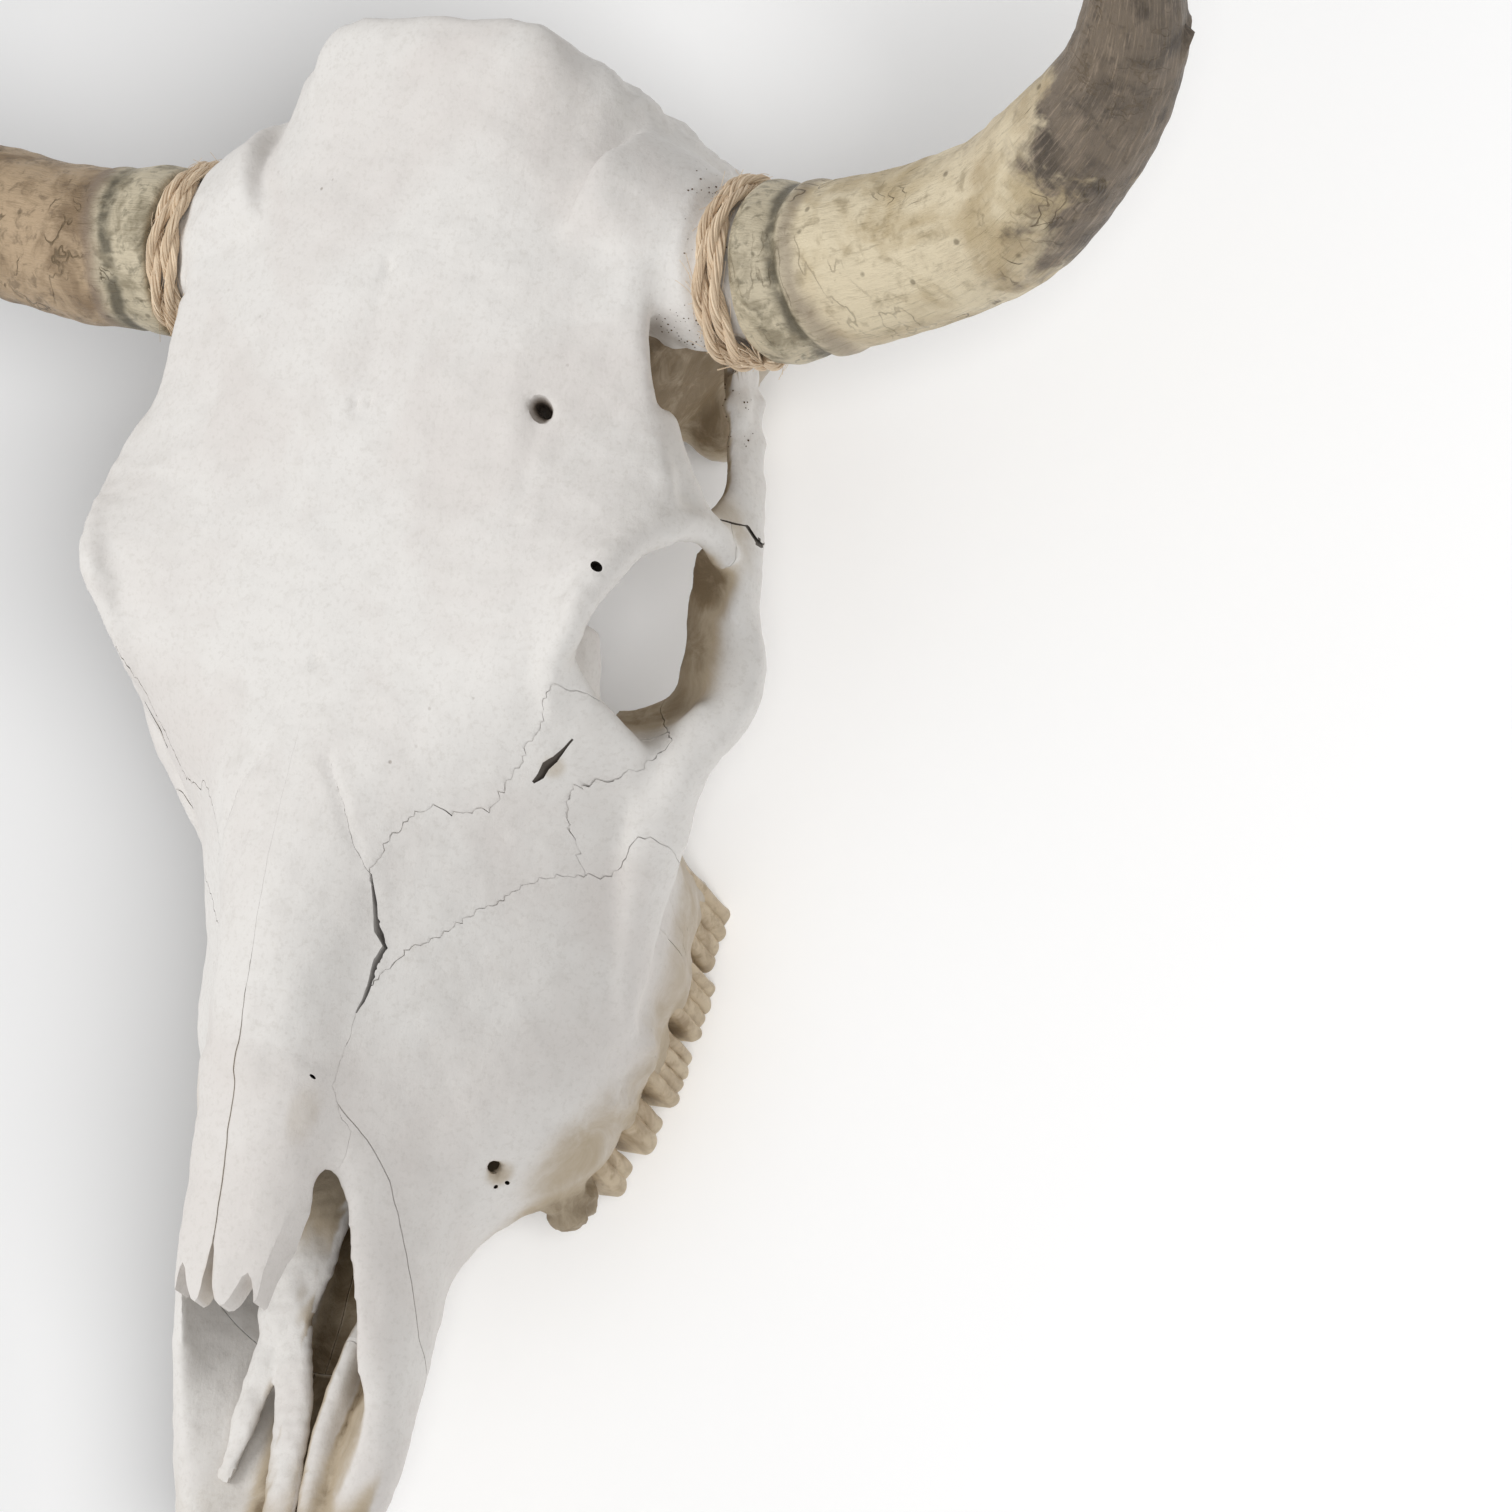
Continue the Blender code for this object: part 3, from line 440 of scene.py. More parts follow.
# The orbit's side and floor: from the inner edge to the ridge of the margin, from the back round to the front.
ORBIT_WALL = [
    ((98, 351, 125), (112, 351, 131)), ((94, 340, 114), (115, 343, 124)), ((93, 333, 110), (117, 335, 118)),
    ((93, 322, 106), (120, 325, 112)), ((94, 314, 106), (121, 318, 110)), ((88, 309, 101), (121, 308, 109)),
    ((80, 304, 101), (117, 297, 109)), ((75, 302, 103), (110, 288, 110)), ((73, 303, 105), (100, 284, 111)),
    ((71, 306, 110), (88, 284, 116)), ((71, 309, 118), (82, 288, 124)), ((74, 308, 130), (80, 293, 136)),
]
WALL_THICKNESS = 6.0
MARGIN = ((5.0, -5.0), (1.5, -16.0))  # the cheekbone outside the ridge: how far out and up, twice
CHEEK = [(73, 196, 50), (77, 222, 53), (82, 250, 68), (91, 268, 84), (104, 284, 99), (115, 304, 104)]
ARCH = [(118, 330, 111), (114, 352, 116), (105, 384, 120), (98, 408, 126), (90, 430, 132), (78, 446, 132)]
POSTORBITAL = [(97, 378, 163), (102, 367, 157), (106, 360, 150), (109, 354, 142), (113, 349, 134)]
ARCH_FOOT = [(106, 380, 119), (108, 368, 121), (109, 359, 125), (112, 351, 130)]
CORE = [(62, 444, 172), (80, 438, 167), (98, 432, 162.5), (130, 433.5, 160)]
CORE_RADII = [32.0, 29.0, 27.5, 26.5]
JUGULAR = [(50, 450, 92), (50, 452, 72), (47, 452, 56)]
PTERYGOID = [(40, 282, 34), (34, 300, 48), (29, 320, 62), (26, 345, 72)]

# Tubes on each side of the skull: (name, path, radii, thickness over height).
SIDE_TUBES = [
    ("rim", ORBIT_RIM, [5.0, 5.5, 5.5, 5.5, 5.5, 5.5, 6.0, 6.0, 6.0, 5.5], 0.95),
    ("cheek", CHEEK, [5, 8, 10, 12, 10, 8], 0.9),
    ("postorbital", POSTORBITAL, [5.5, 6.5, 6.5, 6.0, 5.5], 0.9),
    ("arch", ARCH, [8, 9, 10.5, 10.5, 12, 12], 0.42),
    ("arch_foot", ARCH_FOOT, [6.5, 8.5, 9.0, 8.0], 0.52),
    ("core", CORE, CORE_RADII, 1.0),
    ("jugular", JUGULAR, [15, 11, 7], 0.8),
    ("pterygoid", PTERYGOID, [9, 10, 11, 10], 0.5),
]
# Knobs on each side: (name, centre, half widths).
SIDE_BALLS = [
    ("condyle", (26, 474, 62), (18, 19, 23)),
    ("bulla", (41, 434, 58), (12, 17, 16)),
    ("socket", (55, 164, 13), (9, 11, 10)),
]
# Round holes on each side: (name, centre, direction, radius, depth, oval).
SIDE_HOLES = [
    ("infraorbital", (56, 157, 59), (1.0, -0.7, 0.4), 2.7, 26, 1.4),
    ("ear_hole", (84, 438, 104), (1.0, 0.0, 0.1), 5.0, 40, 1.0),
]
SUPRAORBITAL = ((66, 369, 180), (0.48, -0.30, 0.82), 2.5, 34, 1.7)  # only the left one is open
# Small pits on the left side, cut when the bone has its last shape: (centre, direction, radius, depth, oval).
SIDE_PITS = [
    ((103, 318, 173), (0.4, -0.2, 1.0), 1.5, 9, 1.5),
    ((54, 153, 53), (1.0, -0.7, 0.4), 0.8, 7, 1.0),
    ((57, 155, 51), (1.0, -0.7, 0.4), 0.7, 7, 1.5),
    ((87, 290, 158), (0.6, -0.4, 0.7), 0.6, 5, 1.3),
    ((92, 299, 165), (0.6, -0.4, 0.7), 0.5, 5, 1.6),
    ((22, 158, 120), (0.7, -0.3, 0.7), 0.5, 6, 2.4),
]
# Open sutures and cracks on each side: path (x, a), widths, and the levels between which each is cut.
SIDE_SLITS = [
    ([(30.5, 222), (31, 215), (31, 207), (33, 204), (31, 199), (30, 191), (29, 186), (28, 182)],
     [0.4, 1.0, 0.9, 1.3, 1.1, 1.0, 0.7, 0.3], 108, 200),
    ([(74.5, 261.5), (77, 264), (79, 266.5), (82, 269), (85, 272.5), (87.5, 275.5)],
     [0.4, 1.1, 1.2, 0.8, 0.45, 0.3], 112, 190),
    ([(111, 353.2), (113, 357), (115, 360.8), (118.5, 356)], [0.3, 0.7, 1.0, 0.5], 112, 140),
]
FORAMEN_MAGNUM = ((0, 482, 86), (0, 1, 0.1), 16, 70)
PALATAL_BARS = [
    ([(18, 16, 35), (17, 39, 39), (15.5, 59, 41), (14.5, 79, 42), (16, 95, 44), (24, 109, 49), (35, 122, 54)],
     [4.4, 5, 5.5, 5.5, 5, 4.6, 4.6]),
]
BAR_FLATNESS = 0.75
VOMER_BAR = [
    (-9, 90, 49), (-11, 100, 50.5), (-8, 118, 54), (-5, 132, 57), (-2, 150, 60), (0, 185, 64), (0, 225, 66),
    (0, 256, 68),
]
VOMER_BAR_RADII = [2.6, 4.0, 4.4, 4.1, 3.4, 2.6, 2.2, 2.2]
VOMER_BAR_FLATNESS = 2.7
VOMER_LEG_FLATNESS = 2.1
# The two blades that the front of the vomer ends in: path and half heights.
VOMER_LEGS = [
    ([(-9, 116, 53), (-6.5, 96, 49.5), (-1, 77, 46), (4, 55, 43.5), (6.5, 38, 42), (7.5, 22, 41)],
     [2.0, 3.3, 3.5, 3.3, 3.2, 2.8]),
    ([(-9, 114, 53), (-13, 98, 49.5), (-15.5, 76, 46), (-17, 60, 44), (-20, 44, 41)], [1.5, 2.8, 2.8, 2.2, 1.1]),
]
VOMER_PLATE = [(128, 60), (258, 68), (258, 46), (215, 42), (170, 41.5), (150, 44)]
VOMER_THICKNESS = 3.0

# Horns, of the left side (1) and the right (-1): the middle of the foot under the rope, then the path.
HORN_PATHS = {
    1: [
        (108, 431.5, 160.5), (122, 432.5, 160), (142, 434, 162), (158, 435.5, 165), (181, 440, 168), (207, 447, 175),
        (226, 456, 185), (245, 467, 199), (259, 477.5, 212), (270, 486, 229), (278, 493, 248), (282, 499, 268),
        (283, 503, 288), (281, 506, 305),
    ],
    -1: [
        (108, 431, 162), (122, 430, 164), (138, 429.5, 166), (152, 429, 168.5), (170, 430.5, 171), (193, 433.5, 176.5),
        (213, 436, 185), (233, 441, 197), (251, 448, 211), (266, 455, 228), (276, 461, 247), (282, 466, 267),
        (284.5, 470, 287), (284, 473, 303),
    ],
}
HORN_RADII = [28.6, 28.6, 27.8, 26.8, 25.6, 24.8, 23.2, 20.8, 18.4, 16.2, 13.0, 9.4, 5.6, 2.2]
SHEATH_START = {1: 13.0, -1: 9.0}  # where each sheath begins, from the first point of its path
TORN_FROM = {1: 172.0, -1: 200.0}  # how far along each sheath its outer layer has split off
DARK_FROM = {1: (112.0, 136.0), -1: (175.0, 205.0)}  # how far along each sheath it begins to be dark, and is dark
BROWN = {1: 0.25, -1: 1.0}  # how brown each sheath is before that
SHEATH_SEED = {1: 5, -1: 9}
HORN_COLOUR_SEED = {1: 3.0, -1: 41.0}
ROPE_SEED = {1: 11, -1: 12}
CORE_RADIUS = 25.0  # of the core under the cord
NECK_BACK = -2.45  # where that narrowed part of the core begins, from the first point of the path
NECK_FADE = 9.0  # how far it widens again towards the skull, and by how much
CUT_RADIUS = 60.0
CUT_LENGTH = 60.0
NECK_REACH = 38.0  # bone further than this from the horn's middle isn't drawn in

# Upper cheek teeth, front to back: (a of the front, length, outer x, inner x).
TEETH = [(174, 15, 66, 44), (190, 16, 72, 48), (207, 23, 75, 49), (231, 24, 75, 49), (256, 26, 71, 46)]
TOOTH_TOP = 34.0
TOOTH_GAP = 2.2
# The worn crown, from its edge to its hollow middle: the share of the outline that each ring keeps, and its height.
TOOTH_CROWN = [
    (0.985, 0.35), (0.95, 0.0), (0.90, 0.15), (0.84, 1.1), (0.60, 1.3), (0.50, 0.3), (0.42, 1.0), (0.3, 2.2),
    (0.08, 2.4),
]

# Sutures in plan, (x, a), and the level each bone reaches down to inside the skull.
NASAL_PLAN = [
    (0, 269), (4, 270), (8, 266), (12, 259), (16, 248), (21, 240), (25, 229), (30, 222), (31, 214), (33, 204),
    (30, 191), (28, 182), (26, 158), (28, 150), (38, 140), (38, 70), (0, 70), (0, 150), (0, 190),
]
LACRIMAL_PLAN = [
    (30, 222), (34, 231), (38, 238), (42, 243), (47, 247), (51, 246), (62, 251), (69, 260), (76, 269), (88, 284),
    (101, 293), (106, 289), (97, 277), (90, 271), (82, 264), (79, 259), (77, 247), (73, 243), (65, 236), (60, 229),
    (53, 222), (44, 211), (38, 205), (30, 191), (33, 204), (31, 214),
]
CHEEKBONE_PLAN = [
    (77, 247), (87, 255), (94, 262), (150, 268), (150, 357), (118, 356), (115, 361), (111, 353), (84, 357), (84, 330),
    (92, 302), (106, 289), (97, 277), (90, 271), (82, 264), (79, 259),
]
CHEEKBONE_TOP = 129.0
PREMAXILLA_SPLIT = -4.0  # x where the palate parts between the two premaxillae
BEYOND = 120.0
MAXILLA_PLAN = [(0, 286), (150, 286), (150, 60), (0, 60)]
PREMAXILLA_SIDE = [
    (-20, -40), (72, -40), (84, 30), (98, 54), (118, 71), (138, 87), (147, 98), (156, 114), (137, 104), (103, 88),
    (-20, 88),
]


def nasal_vault():
    rings = []
    angles = np.linspace(0, np.pi, 25)
    for a, crown, half_width, drop in smooth_through(NASAL_VAULT, 6):
        outer = [(half_width * math.cos(t), a, crown - drop * (1 - math.sin(t))) for t in angles]
        inner = [
            ((half_width - VAULT_EDGE) * math.cos(t), a, crown - WALL - drop * (1 - math.sin(t))) for t in angles[::-1]
        ]
        rings.append(outer + inner)
    return shell("vault", rings)


def orbit_wall(side):
    """The side and floor of the eye socket, which end in the ridge of its margin."""
    rings = []
    for inner, ridge in smooth_through(ORBIT_WALL, 6):
        outward = (ridge - inner) * (1, 1, 0)
        outward /= np.linalg.norm(outward)
        outer, under = [ridge + outward * out + (0, 0, up) for out, up in MARGIN]
        rings.append([inner, ridge, outer, under, inner - (0, 0, WALL_THICKNESS)])
    return shell("orbit_wall", np.array(rings) * (side, 1, 1))


def slit(path, widths, low, high, side):
    """A cutter for an open suture or a crack: a band along a path (x, a), with its width at each point."""
    path = np.array(path, float)
    along = np.gradient(path, axis=0)
    across = np.stack([along[:, 1], -along[:, 0]], axis=1) / np.linalg.norm(along, axis=1, keepdims=True)
    half = across * np.array(widths)[:, None] / 2
    outline = np.concatenate([path + half, (path - half)[::-1]]) * (side, 1)
    return prism([(x, a, low) for x, a in outline], [(x, a, high) for x, a in outline])


def tooth_block(front, length, outer, inner):
    """A root that carries a tooth, inside the jaw."""
    bm = bmesh.new()
    bmesh.ops.create_cube(bm, size=1)
    size = (abs(outer - inner) - 2, length - TOOTH_GAP, 22)
    bmesh.ops.scale(bm, vec=size, verts=bm.verts)
    bmesh.ops.bevel(bm, geom=bm.edges, offset=3, segments=3, affect="EDGES", profile=0.5, material=-1)
    turned(bm, ((outer + inner) / 2, front + length / 2, 24))
    return object_from("root", bm)


def whole_skull():
    """The skull in one piece, before its bones are parted."""
    pieces = [shell("body", body_rings(BODY, 6, 7))]
    for side, _ in SIDES:
        pieces.append(orbit_wall(side))
        for name, path, radii, flatness in SIDE_TUBES:
            pieces.append(tube(name, path, radii, flatness, side=side))
        for name, (x, a, z), radii in SIDE_BALLS:
            pieces.append(ball(name, (side * x, a, z), radii))
        for front, length, outer, inner in TEETH:
            pieces.append(tooth_block(front, length, side * outer, side * inner))
    skull = joined("skull", pieces)
    fuse(skull, COARSE_VOXEL, 4)

    cutters = [
        shell("cavity", body_rings(CAVITY, 5, 6)), drill("foramen_magnum", *FORAMEN_MAGNUM),
        drill("supraorbital", *SUPRAORBITAL),
    ]
    for side, _ in SIDES:
        for name, (x, a, z), (across, back, up), radius, depth, oval in SIDE_HOLES:
            cutters.append(drill(name, (side * x, a, z), (side * across, back, up), radius, depth, oval=oval))
    for cutter in cutters:
        combine(skull, cutter, "DIFFERENCE")

    added = [skull, nasal_vault()]
    for path, radii in PALATAL_BARS:
        added.append(tube("palatal", path, radii, BAR_FLATNESS))
    skull = joined("skull", added)
    fuse(skull, FINE_VOXEL, 3)
    keep_largest(skull)
    return skull


# Raised lines and grooves, alike on both sides: path (x, a, z), height, width.
RELIEF = [
    ([(96, 273, 105), (90, 259, 90), (84, 241, 73), (82, 220, 58), (79, 209, 41)], 1.8, 5.0),
    ([(78, 214, 35), (77, 208, 30)], 3.2, 6.5),
    ([(66, 366, 180), (66, 355, 178), (66, 346, 176)], -0.9, 3.0),
    ([(66, 346, 176), (67, 336, 174), (70, 321, 169)], -0.5, 2.6),
    ([(64, 374, 182), (68, 364, 180)], -1.3, 7.0),
    ([(0, 470, 216), (0, 430, 204), (1, 395, 195), (2, 365, 187)], -0.35, 1.6),
    ([(0, 407, 198), (0.5, 409, 198)], -1.4, 1.8),
    ([(3, 365, 187), (2, 361, 186)], -1.3, 1.8),
    ([(1, 282, 163), (1, 285, 164)], -1.2, 1.6),
    ([(13, 252, 157), (19, 243, 154), (24, 233, 149), (28, 225, 141)], -1.1, 2.0),
    ([(59, 480, 196), (66, 455, 200), (78, 430, 196), (90, 417, 187)], 1.6, 7.0),
    ([(96, 410, 179), (104, 392, 178), (108, 372, 176), (111, 356, 165)], 1.0, 4.0),
    ([(0, 487, 196), (0, 486, 160), (0, 480, 120)], 2.6, 5.0),
    ([(0, 490, 172), (30, 488, 168), (58, 482, 150), (74, 474, 128)], 2.2, 6.0),
    ([(12, 480, 150), (34, 478, 130)], -2.4, 11.0),
    ([(93, 327, 167), (101, 333, 166)], 0.8, 3.0),
    ([(33.5, 220, 133), (34.5, 206, 125), (33, 192, 119)], 0.6, 2.0),
    ([(74, 268, 129), (68, 262, 128)], 1.0, 4.0),
]


def near(points, centre, radius):
    """1 at a place, falling to 0 at the radius, alike on both sides."""
    return ramp(np.linalg.norm(folded(points) - centre, axis=1), radius, 0)


def evened(values, ends, rounds, share=0.5):
    """Values of the vertices, each drawn towards the mean of its neighbours a number of times."""
    count = len(values)
    links = np.maximum(np.bincount(ends.ravel(), minlength=count), 1)
    for _ in range(rounds):
        total = np.bincount(ends[:, 0], values[ends[:, 1]], count) + np.bincount(ends[:, 1], values[ends[:, 0]], count)
        values = values + share * (total / links - values)
    return values


# Thin borders of the open nose on each side.
SOFT_BORDERS = [
    [(9, 2, 37), (17, 14, 41), (27, 38, 46), (30, 62, 57), (31, 82, 69), (31, 104, 82), (29, 125, 93), (24, 138, 102)],
    [(34, 38, 43), (36, 62, 54), (37, 82, 66), (37, 104, 80)],
]
SOFT_REACH = 8.0
SOFT_ROUNDS = 10


def soften(skull):
    """Evens out the stepped edges that the remesh leaves along the thin borders."""
    points = read_points(skull)
    mirrored = folded(points)
    close = np.minimum.reduce([distance_to(mirrored, path) for path in SOFT_BORDERS])
    share = ramp(close, SOFT_REACH, SOFT_REACH * 0.5)
    ends = linked_ends(skull.data)
    smoothed = np.stack([evened(points[:, i], ends, SOFT_ROUNDS, share) for i in range(3)], axis=1)
    write_points(skull, smoothed)


def sculpt(skull):
    """Gives the fused skull the crests, grooves, roots and roughness of bone."""
    points = read_points(skull)
    mirrored = folded(points)
    normals = read_normals(skull)
    rise = 0.5 * lumps(points, 42, 1) + 0.22 * lumps(points, 15, 2) + 0.10 * lumps(points, 6.5, 3)
    for path, height, width in RELIEF:
        rise += height * np.exp(-((distance_to(mirrored, path) / width) ** 2))
    for front, length, outer, _ in TEETH:
        middle = front + length / 2 - 2
        root = distance_to(mirrored, [(outer + 1, middle, 16), (outer + 2, middle - 4, 44)])
        rise += 1.2 * np.exp(-((root / (length * 0.3)) ** 2))
    rim = np.exp(-((distance_to(mirrored, ORBIT_RIM) / 6) ** 2))
    fossa = ramp(mirrored[:, 0], 46, 60) * ramp(mirrored[:, 2], 176, 150) * ramp(mirrored[:, 1], 370, 395)
    nape = ramp(mirrored[:, 1], 466, 480) * ramp(mirrored[:, 2], 204, 186)
    knob = near(points, (55, 164, 13), 20)
    jaw = near(points, (74, 200, 26), 34)
    rise += rim * (0.30 * lumps(points, 5, 11) + 0.18 * lumps(points, 2.8, 12))
    rise += fossa * (0.7 * lumps(points, 13, 13) + 0.35 * lumps(points, 5, 14))
    rise += nape * (0.9 * lumps(points, 12, 15) + 0.35 * lumps(points, 5, 16))
    rise += knob * (1.6 * lumps(points, 9, 17) + 0.6 * lumps(points, 4.2, 18))
    rise += jaw * (0.45 * lumps(points, 7, 19) + 0.35 * lumps(points, 3.4, 20))
    write_points(skull, points + normals * rise[:, None])


def jagged(outline, step, size, seed):
    """The outline with a small irregular zigzag put on it."""
    outline = np.asarray(outline, float)
    random = np.random.default_rng(seed)
    found = []
    for p, q in zip(outline, np.roll(outline, -1, axis=0)):
        along = q - p
        length = np.linalg.norm(along)
        count = max(1, round(length / step)) if length < 60 else 1
        across = np.array((along[1], -along[0])) / max(length, 1e-6)
        for i in range(count):
            shift = random.uniform(-size, size) if i or count > 1 else 0.0
            found.append(p + along * (i / count) + across * shift)
    return np.array(found)


def offset_outline(points, distance):
    """The outline moved outwards by a distance at each point, whichever way round it runs."""
    after = np.roll(points, -1, axis=0)
    before = np.roll(points, 1, axis=0)
    area = (points[:, 0] * after[:, 1] - after[:, 0] * points[:, 1]).sum()
    turn = np.sign(area)

    def outward(edge):
        edge = edge / np.linalg.norm(edge, axis=1, keepdims=True)
        return turn * np.stack([edge[:, 1], -edge[:, 0]], axis=1)

    first = outward(points - before)
    second = outward(after - points)
    corner = first + second
    corner /= (1 + (first * second).sum(axis=1))[:, None]
    reach = np.linalg.norm(corner, axis=1, keepdims=True)
    corner *= np.minimum(1, 2.5 / np.maximum(reach, 1e-6))
    return points + distance * corner


def prism(bottom, top):
    """A solid between two outlines of working points; the shell's caps close it."""
    return shell("region", np.array([bottom, top], float))


def plan_region(outline, low, high, side, grow, closing):
    """A prism standing on a plan outline; low and high give z at (x, a).

    Where grow isn't 0 the outline is widened by it, unevenly, and where closing is true not at its back end.
    """
    outline = np.array(outline, float)
    middle = 0.22 * ramp(outline[:, 1], 190, 160)
    if grow:
        random = np.random.default_rng(len(outline))
        uneven = grow * random.uniform(0.4, 1.3, (len(outline), 1))
        if closing:
            uneven *= ramp(outline[:, 1:], 250, 228)
        outline = offset_outline(outline, uneven)
    outline[:, 0] = np.maximum(outline[:, 0], middle - grow)
    return prism(
        [(side * x, a, low(x, a) - grow) for x, a in outline],
        [(side * x, a, high(x, a) + grow) for x, a in outline],
    )


def side_region(outline, inner, outer, grow):
    """A prism lying along x on a side outline (a, z), from an inner x to an outer x beyond the bone."""
    outline = np.array(outline, float)
    if grow:
        outline = offset_outline(outline, grow)
    near_end = inner - math.copysign(grow, outer)
    return prism([(near_end, a, z) for a, z in outline], [(outer, a, z) for a, z in outline])


def level(z):
    return lambda x, a: z


def nasal_floor(x, a):
    return 84 + 0.30 * (a - 85)


def lacrimal_floor(x, a):
    return 95 - 0.9 * (x - 30) + 0.35 * (a - 220)


def maxilla_ceiling(x, a):
    return 143 - 0.45 * x + 0.15 * (a - 222)


# For each bone: outline, lower and upper level, zigzag step and size, width of its sutures.
BONE_REGIONS = {
    "nasal": (NASAL_PLAN, nasal_floor, level(240), 1.6, 0.25, 0.14),
    "lacrimal": (LACRIMAL_PLAN, lacrimal_floor, level(220), 1.2, 0.55, 0.30),
    "cheekbone": (CHEEKBONE_PLAN, level(-20), level(CHEEKBONE_TOP), 1.7, 0.5, 0.30),
    "premaxilla": (PREMAXILLA_SIDE, None, None, 0.0, 0.0, 0.42),
    "maxilla": (MAXILLA_PLAN, level(-20), maxilla_ceiling, 0.0, 0.0, GAP),
}


def bone_region(bone, side, grown):
    """The solid that a bone is cut out with, or where grown the wider one that frees it from its neighbours."""
    outline, low, high, step, size, gap = BONE_REGIONS[bone]
    grow = gap if grown else 0.0
    if bone == "premaxilla":
        return side_region(outline, PREMAXILLA_SPLIT + side * GAP / 2, side * BEYOND, grow)
    if step:
        outline = jagged(outline, step, size, seed=len(bone) + side)
    return plan_region(outline, low, high, side, grow, closing=bone == "nasal")


def horn_foot(side):
    """The first point of a horn's path, and the direction in which the path sets off."""
    foot = np.array(HORN_PATHS[side][0], float) * (side, 1, 1)
    axis = np.array(HORN_PATHS[side][1], float) * (side, 1, 1) - foot
    return foot, axis / np.linalg.norm(axis)


def neck_cores(skull):
    """Narrows each horn core where the cord is wound round it."""
    points = read_points(skull)
    for side, _ in SIDES:
        foot, axis = horn_foot(side)
        back = (points - foot) @ axis
        out = points - foot - back[:, None] * axis
        distance = np.linalg.norm(out, axis=1)
        most = CORE_RADIUS + NECK_FADE * ramp(back, NECK_BACK + 1.5, NECK_BACK - NECK_FADE) ** 1.3
        wide = (back > NECK_BACK - NECK_FADE) & (distance > most) & (distance < NECK_REACH)
        points[wide] -= out[wide] * (1 - most[wide] / distance[wide])[:, None]
    write_points(skull, points)


def open_muzzle(points):
    """1 inside the muzzle's right half, which light reaches from the open left one."""
    return ramp(points[:, 0], -6, -14) * ramp(points[:, 1], 135, 112)


def note_hidden(skull):
    """Stores how far each point lies in a hollow, from 0 in the open to 1 deep inside, for the painted shade and dirt
    in the hollows; less where light reaches into the open muzzle.
    """
    depsgraph = bpy.context.evaluated_depsgraph_get()
    tree = BVHTree.FromObject(skull, depsgraph)
    mesh = skull.data
    co = gathered(mesh.vertices, "co", 3)
    normals = gathered(mesh.vertex_normals, "vector", 3)
    random = np.random.default_rng(7)
    rays = random.normal(size=(RAYS, 3))
    rays /= np.linalg.norm(rays, axis=1, keepdims=True)
    found = np.zeros(len(co))
    for i in range(len(co)):
        start = Vector(co[i] + normals[i] * 0.001)
        turned_rays = np.where((rays @ normals[i] < 0)[:, None], -rays, rays)
        for ray in turned_rays:
            if tree.ray_cast(start, ray, RAY_REACH)[0] is not None:
                found[i] += 1.0 / RAYS
    found = evened(found, linked_ends(mesh), HIDDEN_ROUNDS)
    write_values(skull, "hidden", found * (1 - 0.75 * open_muzzle(read_points(skull))))


# Where the bone is painted brown on each side: (centre, half widths, strength). It is soil stain, and in the orbit and
# the temporal fossa also painted shade.
STAINS = [
    ((103, 342, 124), (19, 26, 22), 1.15),
    ((56, 420, 96), (38, 46, 76), 1.1),
    ((72, 424, 140), (26, 30, 20), 0.75),
    ((70, 372, 130), (34, 34, 26), 0.7),
    ((80, 268, 131), (6, 7, 7), 0.35),
    ((92, 300, 158), (20, 16, 12), 0.16),
    ((56, 157, 56), (7, 8, 8), 0.5),
    ((62, 182, 36), (26, 40, 26), 0.6),
    ((50, 452, 60), (40, 40, 30), 0.4),
    ((22, 146, 118), (7, 18, 10), 0.22),
]
ARCH_INSIDE = [(112, 350, 118), (104, 384, 120), (97, 408, 126), (89, 430, 132)]


def note_stain_and_shade(piece):
    """Stores where the bone is painted brown, from 0 to 1: soil stain, and also painted shade in the orbit, the
    temporal fossa, under the cheek arch and inside the nose.
    """
    points = read_points(piece)
    x, a, z = np.abs(points[:, 0]), points[:, 1], points[:, 2]
    inward = -read_normals(piece)[:, 0] * np.sign(points[:, 0])
    upward = read_normals(piece)[:, 2]
    jaw = 0.6 * ramp(z, 40, 18) * ramp(a, 150, 172) * ramp(a, 300, 215) * ramp(x, 44, 60)
    socket = 0.8 * ramp(np.linalg.norm(np.stack([x - 55, a - 164, z - 15], 1), axis=1), 30, 9)
    tip = 0.6 * ramp(a, 34, 4)
    # Inside the nose the brown is stain and painted shade; out_of_light keeps it off where light reaches through the
    # open muzzle.
    nose = ramp(a, 190, 150) * ramp(inward, 0.1, 0.6) * (0.25 + 0.35 * ramp(z, 62, 44))
    out_of_light = 1 - 0.8 * open_muzzle(points)
    palate = 0.95 * ramp(a, 175, 140) * ramp(upward, 0.3, 0.8) * ramp(z, 48, 40) * ramp(z, 30, 34)
    deep = 0.7 * ramp(a, 110, 135) * ramp(a, 270, 250) * ramp(z, 80, 60)
    deep = deep * ramp(inward + upward, 0.1, 0.5) * ramp(x, 66, 50)
    # On the inner side of the cheek arch and on the orbit's wall the brown is stain and painted shade.
    arch = 0.8 * ramp(distance_to(np.abs(points), ARCH_INSIDE), 17, 8) * ramp(inward, -0.2, 0.3)
    under = 0.45 * ramp(z - 0.1 * a, 30, 5)
    wall = [inner for inner, _ in ORBIT_WALL[:8]]
    orbit = 0.8 * ramp(distance_to(np.abs(points), wall), 27, 8) * ramp(upward, -0.4, 0.2)
    found = [jaw, socket, tip, nose * out_of_light, palate * out_of_light, deep, arch, under, orbit]
    for (across, back, up), (wide, long, tall), strength in STAINS:
        reach = np.sqrt(((x - across) / wide) ** 2 + ((a - back) / long) ** 2 + ((z - up) / tall) ** 2)
        found.append(strength * ramp(reach, 1.0, 0.35))
    write_values(piece, "tan", np.clip(np.maximum.reduce(found), 0, 1.2))
    cracked = piece.data.attributes.new("crack_shade", "FLOAT", "FACE")
    cracked.data.foreach_set("value", crack_walls(piece).astype(np.float32))


